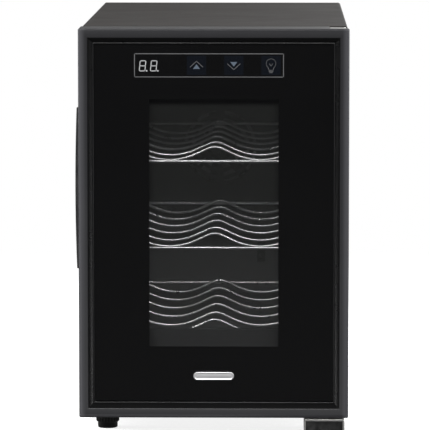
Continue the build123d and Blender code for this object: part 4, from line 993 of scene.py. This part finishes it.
class COOLER_OT_cooling(Builder, bpy.types.Operator):
    """Sinks, fans, guard, supply and cord gland"""

    bl_idname = "cooler.cooling"
    bl_label = "Cooling unit"

    def build(self, sizes):
        coat_nodes(
            "cold_block", "peltier_module", "hot_sink", "cold_sink", "power_tray", "power_board",
            "inner_fan_frame", "inner_fan_rotor",
        )
        rounded_piece("outer_fan_frame", "rear_fan_frame", sizes.sheet_edge, 50)
        self.guard(sizes)
        self.rotor("outer_fan_rotor", "rear_fan_rotor", 7, 0.020)
        self.gland()

    def guard(self, sizes):
        """Wire rings and spokes, and a flat eye at each corner that lies on the cover."""
        low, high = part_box("fan_guard")
        mid_z = (low.z + high.z) / 2
        eye_r = 0.0042
        eye = (high.x - low.x) / 2 - eye_r
        bm = bmesh.new()
        for x in (-eye, eye):
            for z in (-eye, eye):
                lathe(bm, [(0.0021, 0.0), (0.0040, 0.0), (eye_r, 0.0002), (eye_r, 0.0008),
                           (0.0040, 0.0010), (0.0021, 0.0010)], Vector((x, 0, z)), closed=True)
        made = grow("rear_fan_guard", guard_tree(), close_mesh(bpy.data.meshes.new("guard_eyes"), bm), {
            "Ring count": sizes.guard_rings, "Spoke end": eye * math.sqrt(2) - 0.0022,
            "Finish": material("rack_wire"),
        })
        ring_y = high.y - 0.0010
        made.data.transform(Matrix.Translation((0, ring_y, mid_z)))
        shift_eyes(made, ring_y, low.y)
        stand_for(made, "fan_guard", 50)

    def rotor(self, node, name, blades, hub_r):
        """Cambered blades round a cup."""
        low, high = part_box(node)
        mid = (low + high) / 2
        tip_r, reach = (high.x - low.x) / 2, high.y - low.y
        hub_low = low.y + 0.0002
        wall, shaft_r, face = 0.0016, 0.0016, 0.0024
        bm = bmesh.new()
        blade_sheet(bm, hub_r - 0.0008, tip_r - 0.0004, reach * 0.80, math.radians(58), 0.0013)
        blade = close_mesh(bpy.data.meshes.new(name + "_blade"), bm)
        made = grow(name, polar_tree(name + "_blades"), blade, {
            "Count": blades, "Axis": (0, 1, 0), "Centre": tuple(mid), "Finish": material("fan_plastic"),
        })
        depth = high.y - hub_low
        add_turned(made, [
            (0.0, 0.0), (hub_r - wall, 0.0), (hub_r - 0.0004, 0.0004), (hub_r, 0.0016),
            (hub_r, depth - 0.0006), (hub_r - 0.0004, depth), (hub_r - wall, depth), (hub_r - wall, face),
            (shaft_r, face), (shaft_r, depth * 0.96), (0.0, depth * 0.96),
        ], Vector((mid.x, hub_low, mid.z)), sides=48)
        stand_for(made, node, 35)

    def gland(self):
        low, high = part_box("cord_gland")
        mid = (low + high) / 2
        out = high.y - low.y
        bm = bmesh.new()
        lathe(bm, [
            (0.0036, 0.0), (0.0083, 0.0), (0.0085, 0.0003), (0.0085, 0.0040), (0.0070, 0.0040),
            (0.0070, 0.0055), (0.0093, 0.0055), (0.0095, 0.0058), (0.0092, out - 0.0006),
            (0.0080, out), (0.0042, out), (0.0036, out - 0.0006),
        ], Vector((mid.x, low.y, mid.z)), sides=48, closed=True)
        stand_for(from_bmesh("cord_grommet", bm), "cord_gland", 40)


def shift_eyes(made, from_y, to_y):
    """Moves the guard's flat eyes back onto the cover."""
    eye_x, eye_reach, thickness = 0.04125, 0.0043, 0.00101
    for vert in made.data.vertices:
        beside = abs(abs(vert.co.x) - eye_x) < eye_reach
        if beside and from_y - 1e-6 <= vert.co.y <= from_y + thickness:
            vert.co.y += to_y - from_y


def blade_sheet(bm, inner, outer, width, pitch, thickness, rows=8, columns=7):
    """A cambered blade along +X from inner to outer, twisted towards its tip."""
    twist, camber, reach = 0.35, 0.0016, 0.62
    top, low = [], []
    for i in range(rows + 1):
        t = i / rows
        radius = inner + (outer - inner) * t
        lean = math.pi / 2 - (pitch + (t - 0.5) * twist)
        chord = width * (0.92 + 0.16 * math.sin(math.pi * min(1.0, t + 0.1)))
        for side, shift in ((top, 0.5), (low, -0.5)):
            row = []
            for j in range(columns + 1):
                s = j / columns - 0.5
                along = camber * (1 - 4 * s * s) + shift * (thickness * (1.0 - 2.4 * s * s))
                across = s * chord / max(0.25, math.cos(lean))
                across = max(-chord * reach, min(chord * reach, across))
                y = across * math.cos(lean) - along * math.sin(lean)
                z = across * math.sin(lean) + along * math.cos(lean)
                row.append(bm.verts.new((math.sqrt(max(radius * radius - z * z, 1e-9)), y, z)))
            side.append(row)
    for i in range(rows):
        for j in range(columns):
            bm.faces.new((top[i][j], top[i + 1][j], top[i + 1][j + 1], top[i][j + 1]))
            bm.faces.new((low[i][j], low[i][j + 1], low[i + 1][j + 1], low[i + 1][j]))
    for i in range(rows):
        for j in (0, columns):
            bm.faces.new((top[i][j], low[i][j], low[i + 1][j], top[i + 1][j]))
    for j in range(columns):
        for i in (0, rows):
            bm.faces.new((top[i][j], top[i][j + 1], low[i][j + 1], low[i][j]))


class COOLER_OT_door_frame(Builder, bpy.types.Operator):
    """Faceted frame and the pull on its left side"""

    bl_idname = "cooler.door_frame"
    bl_label = "Door frame and handle"

    def build(self, sizes):
        made = soften(merged_copy("door_frame", "door_frame_moulding"), sizes.mould_edge, 25, rolled=True)
        stand_for(made, "door_frame", key="door_bezel")
        made = soften(merged_copy("door_handle", "door_pull"), sizes.mould_edge, 45, clamp=True)
        stand_for(made, "door_handle", key="pull")


class COOLER_OT_glazing(Builder, bpy.types.Operator):
    """Both panes, the printed border, the spacer and the bead"""

    bl_idname = "cooler.glazing"
    bl_label = "Glazing"

    def build(self, sizes):
        rounded_piece("outer_glass", "outer_pane", 0.0004)
        rounded_piece("inner_glass", "inner_pane", 0.0004)
        coat_nodes("glass_spacer")
        low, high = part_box("glass_bead")
        width, edge = 0.0010, 0.0003
        profile = [(0.0, high.y), (0.0, low.y + edge), (edge, low.y), (width - edge, low.y),
                   (width, low.y + edge), (width, high.y)]
        stand_for(ring_sweep("window_bead", profile, low, high, 0.0012, 4), "glass_bead", 50)
        self.border(sizes)

    def border(self, sizes):
        """The opaque print round the window, just inside the pane's back face."""
        inset = 0.0003
        outer = (GLASS_HIGH.x - inset, (GLASS_HIGH.z - GLASS_LOW.z) / 2 - inset)
        inner = (sizes.window_width / 2, sizes.window_height / 2)
        bm = bmesh.new()
        loops = [
            [bm.verts.new((sx * w, GLASS_HIGH.y - behind, DOOR_MID_Z + sz * h)) for sx, sz in SQUARE]
            for behind in (0.00012, 0.00004) for w, h in (outer, inner)
        ]
        for a, b in ((0, 1), (2, 3), (0, 2), (1, 3)):
            bridge(bm, loops[a], loops[b])
        dress(from_bmesh("printed_border", bm), "border", "door")


class COOLER_OT_controls(Builder, bpy.types.Operator):
    """Printed outline, two digits, arrows and lamp symbol behind the glass"""

    bl_idname = "cooler.controls"
    bl_label = "Control panel"

    def build(self, sizes):
        coat_nodes("display_board", "display_module", "touch_pads")
        line = sizes.print_line
        thin = line * 0.7
        back = GLASS_HIGH.y - 0.00020
        front = back - 0.00006
        lit_front = front - 0.00002
        mid_z, half_zone = 0.3485, 0.009
        up_x, down_x, lamp_x = -0.0161, 0.0186, 0.0532
        zones = [
            [(x + sx * half_zone, mid_z + sz * half_zone) for sx, sz in ((-1, -1), (1, -1), (1, 1), (-1, 1))]
            for x in (up_x, down_x, lamp_x)
        ]
        self.plate("touch_zones", zones, front + 0.00003, back, "touch_zone")
        left, right, low, high = -0.0738, 0.0648, 0.3377, 0.3593
        outline = stroke([(left, low), (right, low), (right, high), (left, high)], line, True)
        for x, foot, tip in ((up_x, 0.3470, 0.3524), (down_x, 0.3499, 0.3445)):
            outline += stroke([(x - 0.0058, foot), (x, tip), (x + 0.0058, foot)], thin)
        self.plate("panel_symbols_print", outline + self.bulb(lamp_x, thin), front, back, "symbols")
        tips = [
            [(up_x - 0.0033, 0.3452), (up_x + 0.0033, 0.3452), (up_x, 0.3495)],
            [(down_x - 0.0033, 0.3517), (down_x, 0.3474), (down_x + 0.0033, 0.3517)],
        ]
        self.plate("arrow_fills", tips, lit_front, back, "arrows")
        self.plate("display_digits_lit", self.digits(), lit_front, back, "digits")

    def plate(self, name, outlines, front, back, key):
        """One thin print from many outlines."""
        dress(flat_plate(name, outlines, front, back), key, "door")

    def bulb(self, x, thin):
        """A lamp: round glass, neck, cap and a bent filament."""
        glass = arc((x, 0.3502), 0.0045, -55, 235, 18)
        made = stroke(glass, thin)
        for side, end in ((0.0020, glass[0]), (-0.0020, glass[-1])):
            made += stroke([(x + side, 0.3440), end], thin)
        for z, half in ((0.3440, 0.0020), (0.3429, 0.0020), (0.3418, 0.0012)):
            made += stroke([(x - half, z), (x + half, z)], thin)
        return made + stroke([(x - 0.0014, 0.3500), (x, 0.3478), (x + 0.0014, 0.3500)], thin * 0.8)

    def digits(self):
        """Two slanted seven-bar eights and their points."""
        made = []
        thick, lean, tall, wide, low = 0.00078, 0.10, 0.0094, 0.0053, 0.3433
        bars = [((0, v), (1, v)) for v in (0, 0.5, 1)]
        bars += [((u, v), (u, v + 0.5)) for u in (0, 1) for v in (0, 0.5)]
        for left in (-0.0694, -0.0590):
            for ends in bars:
                p, q = (Vector((left + u * wide + v * tall * lean, low + v * tall)) for u, v in ends)
                step = (q - p).normalized() * thick * 0.62
                p, q = p + step, q - step
                along, side = (q - p).normalized(), (q - p).normalized().orthogonal() * thick / 2
                tip = along * thick / 2
                made.append([tuple(v) for v in (p - tip, p + side, q + side, q + tip, q - side, p - side)])
            made.append(arc((left + wide + 0.0016, low + 0.0001), 0.0008, 0, 315, 7))
        return made


class COOLER_OT_door_lining(Builder, bpy.types.Operator):
    """Door back panel, foam and the folded seal"""

    bl_idname = "cooler.door_lining"
    bl_label = "Door lining and seal"

    def build(self, sizes):
        rounded_piece("door_back_panel", "door_lining_panel", sizes.mould_edge)
        coat_nodes("door_foam")
        low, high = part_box("door_gasket")
        base, lip = low.y + 0.0016, high.y
        rise = lip - base
        outer = [(inset, base + rise * up) for inset, up in (
            (0.0129, 0.14), (0.0118, 0.30), (0.0129, 0.46), (0.0118, 0.60), (0.0128, 0.76))]
        inner = [(inset, base + rise * up) for inset, up in (
            (0.0002, 0.72), (0.0012, 0.55), (0.0002, 0.38), (0.0012, 0.24), (0.0004, 0.10))]
        profile = [
            (0.0050, low.y), (0.0080, low.y), (0.0080, base), (0.0122, base + 0.0001), *outer,
            (0.0120, lip - 0.0003), (0.0100, lip), (0.0028, lip), (0.0008, lip - 0.0004), *inner,
            (0.0010, base), (0.0050, base),
        ]
        stand_for(ring_sweep("door_seal", profile, low, high, 0.005, 8), "door_gasket", 60)


class COOLER_OT_emblem(Builder, bpy.types.Operator):
    """Plain pill-shaped badge with a raised rim"""

    bl_idname = "cooler.emblem"
    bl_label = "Emblem"

    def build(self, sizes):
        low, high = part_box("emblem")
        mid = (low + high) / 2
        half_w, half_h = (high.x - low.x) / 2, (high.z - low.z) / 2
        profile = [(0.0, 0.0), (0.0, 0.62), (0.00012, 0.86), (0.00035, 0.98), (0.00062, 1.0), (0.00090, 0.96),
                   (0.00108, 0.80), (0.00125, 0.72), (0.0020, 0.74), (0.0030, 0.80), (0.0037, 0.82)]
        turns = [math.radians(-90 + 180 * i / 16) for i in range(17)]
        bm = bmesh.new()
        rings = []
        for inset, share_up in profile:
            radius = max(half_h - inset, 0.00002)
            y = high.y - (high.y - low.y) * share_up
            rings.append([
                bm.verts.new((mid.x + side * (half_w - half_h + radius * math.cos(turn)), y,
                              mid.z + side * radius * math.sin(turn)))
                for side in (1, -1) for turn in turns
            ])
        for a, b in zip(rings, rings[1:]):
            bridge(bm, a, b)
        bm.faces.new(rings[0])
        bm.faces.new(rings[-1])
        stand_for(from_bmesh("badge_pill", bm), "emblem", 50)


class COOLER_OT_hinges(Builder, bpy.types.Operator):
    """Hinge plates, block, pins and bushes"""

    bl_idname = "cooler.hinges"
    bl_label = "Hinges"

    def build(self, sizes):
        rounded_piece("top_hinge_plate", "upper_hinge_plate", 0.00025, 50)
        rounded_piece("lower_hinge_bracket", "lower_hinge_channel", 0.00025, 50)
        rounded_piece("hinge_block", "hinge_filler", sizes.mould_edge, 50)
        coat_nodes("top_hinge_pin", "lower_hinge_pin", "top_hinge_bush", "lower_hinge_bush")


class COOLER_OT_feet(Builder, bpy.types.Operator):
    """Ribbed levelling feet, rear feet, nuts and wall spacers"""

    bl_idname = "cooler.feet"
    bl_label = "Feet and spacers"

    def build(self, sizes):
        tree = polar_tree("foot_ribs")
        # The right skirt ends under the hinge bracket, the left one just under the base.
        for node, drop in (("foot_front_left", 0.0001), ("foot_front_right", 0.0020)):
            self.front_foot(node, drop, tree, sizes)
        coat_nodes("foot_nuts")
        rounded_piece("rear_feet", "rear_feet_pair", sizes.mould_edge, 50)
        rounded_piece("wall_spacers", "wall_spacer_pair", 0.0003, 50)

    def front_foot(self, node, drop, tree, sizes):
        """A skirt of grip ribs over a round pad, and its stud."""
        low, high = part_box(node)
        mid = (low + high) / 2
        rib_r = sizes.foot_rib_radius
        skirt_r = (high.x - low.x) / 2 - rib_r
        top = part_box("base_pan")[0].z - drop
        rib_low, rib_high = 0.0062, top - 0.0007
        bm = bmesh.new()
        lathe(bm, [
            (0.0, rib_low), (rib_r * 0.6, rib_low), (rib_r, rib_low + 0.0004),
            (rib_r, rib_high - 0.0004), (rib_r * 0.6, rib_high), (0.0, rib_high),
        ], Vector((skirt_r, 0, 0)), sides=10, axis="Z")
        made = grow(node + "_body", tree, close_mesh(bpy.data.meshes.new(node + "_rib"), bm), {
            "Count": sizes.foot_ribs, "Axis": (0, 0, 1), "Centre": (mid.x, mid.y, 0),
            "Finish": material("foot_plastic"),
        })
        pad_r, stud_r = 0.0094, 0.0030
        add_turned(made, [
            (0.0, 0.0), (pad_r - 0.0010, 0.0), (pad_r - 0.0003, 0.0003), (pad_r, 0.0010),
            (pad_r, 0.0046), (pad_r + 0.0002, 0.0052), (skirt_r - 0.0006, 0.0055), (skirt_r, rib_low),
            (skirt_r, top - 0.0008), (skirt_r - 0.0003, top - 0.0002), (skirt_r - 0.0010, top),
            (stud_r, top), (stud_r, high.z - 0.0005), (stud_r - 0.0005, high.z), (0.0, high.z),
        ], Vector((mid.x, mid.y, 0)), sides=64, axis="Z")
        stand_for(made, node, 48)


class COOLER_OT_screws(Builder, bpy.types.Operator):
    """Pan-head cross-recess screws"""

    bl_idname = "cooler.screws"
    bl_label = "Screws"

    def build(self, sizes):
        tree = scatter_tree("screw_places")
        low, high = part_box("rear_cover_screws")
        head_r, head_h, middle_z = 0.0032, 0.0018, 0.200
        half = (high.x - low.x) / 2 - head_r
        rows = (low.z + head_r, middle_z, high.z - head_r)
        places = [(x, high.y - head_h, z) for x in (-half, half) for z in rows]
        self.scatter(tree, "rear_cover_screw_set", places, head_r, head_h, 0.0048, ["rear_cover_screws"])
        low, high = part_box("fan_screws")
        head_r, head_h, inner = 0.0036, 0.0020, 0.03575
        half = (high.x - low.x) / 2 - head_r
        mid_z = (high.z + low.z) / 2
        places = [(x, high.y - head_h, mid_z + z) for x in (-half, half) for z in (-half, half)]
        self.scatter(tree, "guard_screw_set", places, head_r, head_h, 0.0230, [])
        places = [(x, low.y + 0.0100, mid_z + z) for x in (-inner, inner) for z in (-inner, inner)]
        self.scatter(tree, "inner_fan_screw_set", places, 0.0034, head_h, 0.0100, ["fan_screws"], 0.0018)
        coat_nodes("sink_bolts", "hinge_screws")

    def scatter(self, tree, name, places, radius, height, shank, nodes, shank_r=0.0015):
        """One kind of screw at each of its places."""
        head = screw_shape(name + "_shape", radius, height, shank, shank_r)
        made = grow(name, tree, points_mesh(name + "_points", places), {
            "Shape": head, "Finish": material("screw_metal"),
        })
        bpy.data.objects.remove(head)
        made.data.set_sharp_from_angle(angle=math.radians(40))
        dress(made, "screw_metal", "cabinet", nodes)


def screw_shape(name, radius, height, shank, shank_r):
    """A pan head towards +Y with a cross recess, over its shank."""
    bm = bmesh.new()
    lathe(bm, [
        (0.0, -shank), (shank_r * 0.5, -shank), (shank_r, -shank + shank_r * 0.7), (shank_r, 0.0),
        (radius, 0.0), (radius, height * 0.45), (radius * 0.93, height * 0.78),
        (radius * 0.72, height * 0.96), (radius * 0.60, height), (0.0, height),
    ], Vector((0, 0, 0)))
    body = from_bmesh(name, bm)
    cutter = bmesh.new()
    arm, wide, deep = radius * 0.52, radius * 0.15, height * 0.65
    mouth, floor = (height + 0.0002, arm), (height - deep, arm * 0.45)
    for turned in (False, True):
        rings = []
        for y, reach in (mouth, floor):
            half_x, half_z = (wide, reach) if turned else (reach, wide)
            rings.append([cutter.verts.new((sx * half_x, y, sz * half_z)) for sx, sz in SQUARE])
        cutter.faces.new(rings[0])
        cutter.faces.new(list(reversed(rings[1])))
        bridge(cutter, *rings)
    tool = from_bmesh(name + "_cross", cutter)
    cut = body.modifiers.new("cross recess", "BOOLEAN")
    cut.operation = "DIFFERENCE"
    cut.solver = "EXACT"
    cut.use_self = True
    cut.object = tool
    freeze(body)
    bpy.data.objects.remove(tool)
    return body


# ------------------------------------------------------------------ stage
AIM = Vector((0.0, 0.0, 0.20))
CAMERA_TILT, CAMERA_TURN = 5.982, 1.0216


def softbox(name, place, size, power):
    """A rectangular light, aimed at the cooler's middle, that only shows in what it lights."""
    lamp = bpy.data.lights.new(name, "AREA")
    lamp.shape = "RECTANGLE"
    lamp.size, lamp.size_y = size
    lamp.energy = power
    made = link(name, lamp)
    made.location = place
    made.rotation_euler = (AIM - Vector(place)).to_track_quat("-Z", "Y").to_euler()
    made.visible_camera = False


def floor_finish(base):
    """Pale seamless floor: lit near the cooler, even white further away, dim far in front."""
    made, tree, shader = blank("pale_floor")
    where = object_place(tree)
    reach = put(tree, "ShaderNodeVectorMath", {0: where}, "Value", operation="LENGTH")
    far = remap(tree, reach, 0.5, 1.3, interpolation_type="SMOOTHSTEP")
    depth = put(tree, "ShaderNodeSeparateXYZ", {0: where}, "Y")
    beside = remap(tree, depth, -0.40, 0.10, 0.0, 0.22, interpolation_type="SMOOTHSTEP")
    near = plus(tree, beside, remap(tree, depth, -4.0, -0.7, 0.09, 0.13))
    fill(tree, shader, {
        "Base Color": rgba(base), "Roughness": 0.9, "Specular IOR Level": 0.0,
        "Emission Color": (1, 1, 1, 1), "Emission Strength": 0.84,
    })
    even = put(tree, "ShaderNodeEmission", {"Strength": 1.0})
    seen = put(tree, "ShaderNodeMixShader", {0: far, 1: shader.outputs[0], 2: even})
    cast = put(tree, "ShaderNodeEmission", {"Strength": near})
    camera_ray = put(tree, "ShaderNodeLightPath", {}, "Is Camera Ray")
    both = put(tree, "ShaderNodeMixShader", {0: camera_ray, 1: cast, 2: seen})
    fill(tree, tree.nodes["Material Output"], {"Surface": both})
    return made


class COOLER_OT_stage(bpy.types.Operator):
    """Pale floor, soft studio light and the camera"""

    bl_idname = "cooler.stage"
    bl_label = "Stage"
    bl_options = {"REGISTER", "UNDO"}

    def execute(self, context):
        scene = context.scene
        studio = scene.cooler_studio
        bm = bmesh.new()
        bmesh.ops.create_circle(bm, cap_ends=True, segments=64, radius=60.0)
        floor = from_bmesh("studio_floor", bm)
        if floor.data.polygons[0].normal.z < 0:
            floor.data.flip_normals()
        floor.data.materials.append(floor_finish(scene.cooler_colours.floor))
        softbox("top_softbox", (0.0, 1.0, 2.2), (2.2, 1.6), studio.top_power)
        softbox("left_softbox", (-1.7, 0.02, 0.70), (1.0, 1.4), studio.left_power)
        softbox("right_softbox", (1.7, 0.02, 0.70), (1.0, 1.4), studio.right_power)
        softbox("front_softbox", (0.0, -3.4, 1.75), (2.6, 0.8), studio.front_power)
        softbox("rear_softbox", (0.9, 2.2, 1.3), (1.6, 1.2), studio.back_power)
        self.room(scene, studio.ambient)
        lens = bpy.data.cameras.new("studio_camera")
        lens.lens = studio.focal
        lens.sensor_width = 36.0
        lens.clip_end = 200.0
        camera = link("studio_camera", lens)
        camera.location = (studio.camera_x, studio.camera_y, studio.camera_z)
        camera.rotation_euler = (math.radians(90 - CAMERA_TILT), 0.0, math.radians(CAMERA_TURN))
        scene.camera = camera
        scene.view_settings.view_transform = "Standard"
        return {"FINISHED"}

    def room(self, scene, ambient):
        """White behind the cooler, dim light from all round."""
        world = bpy.data.worlds.new("studio_room")
        world.use_nodes = True
        tree = world.node_tree
        camera_ray = put(tree, "ShaderNodeLightPath", {}, "Is Camera Ray")
        strength = remap(tree, camera_ray, 0.0, 1.0, ambient, 1.0)
        fill(tree, tree.nodes["Background"], {"Strength": strength, "Color": (1, 1, 1, 1)})
        scene.world = world


STEPS = (
    COOLER_OT_shell, COOLER_OT_cavity, COOLER_OT_racks, COOLER_OT_cooling, COOLER_OT_door_frame,
    COOLER_OT_glazing, COOLER_OT_controls, COOLER_OT_door_lining, COOLER_OT_emblem, COOLER_OT_hinges,
    COOLER_OT_feet, COOLER_OT_screws, COOLER_OT_stage,
)


class COOLER_PT_pieces(bpy.types.Panel):
    """Lists the pieces in the order they are built"""

    bl_idname = "COOLER_PT_pieces"
    bl_label = "Wine Cooler"
    bl_space_type = "VIEW_3D"
    bl_region_type = "UI"
    bl_category = TAB

    def draw(self, context):
        layout = self.layout
        for step in STEPS:
            layout.operator(step.bl_idname)
        for group in (context.scene.cooler_sizes, context.scene.cooler_colours, context.scene.cooler_studio):
            box = layout.box()
            for key in group.__annotations__:
                box.prop(group, key)


SETTINGS = {"cooler_sizes": CoolerSizes, "cooler_colours": CoolerColours, "cooler_studio": CoolerStudio}


def register():
    for group in SETTINGS.values():
        bpy.utils.register_class(group)
    for name, group in SETTINGS.items():
        setattr(bpy.types.Scene, name, PointerProperty(type=group))
    for step in STEPS:
        bpy.utils.register_class(step)
    bpy.utils.register_class(COOLER_PT_pieces)


def unregister():
    bpy.utils.unregister_class(COOLER_PT_pieces)
    for step in reversed(STEPS):
        bpy.utils.unregister_class(step)
    for name, group in reversed(list(SETTINGS.items())):
        delattr(bpy.types.Scene, name)
        bpy.utils.unregister_class(group)


def main():
    """Builds every piece in order."""
    register()
    for step in STEPS:
        family, name = step.bl_idname.split(".")
        getattr(getattr(bpy.ops, family), name)()


if __name__ == "__main__":
    main()
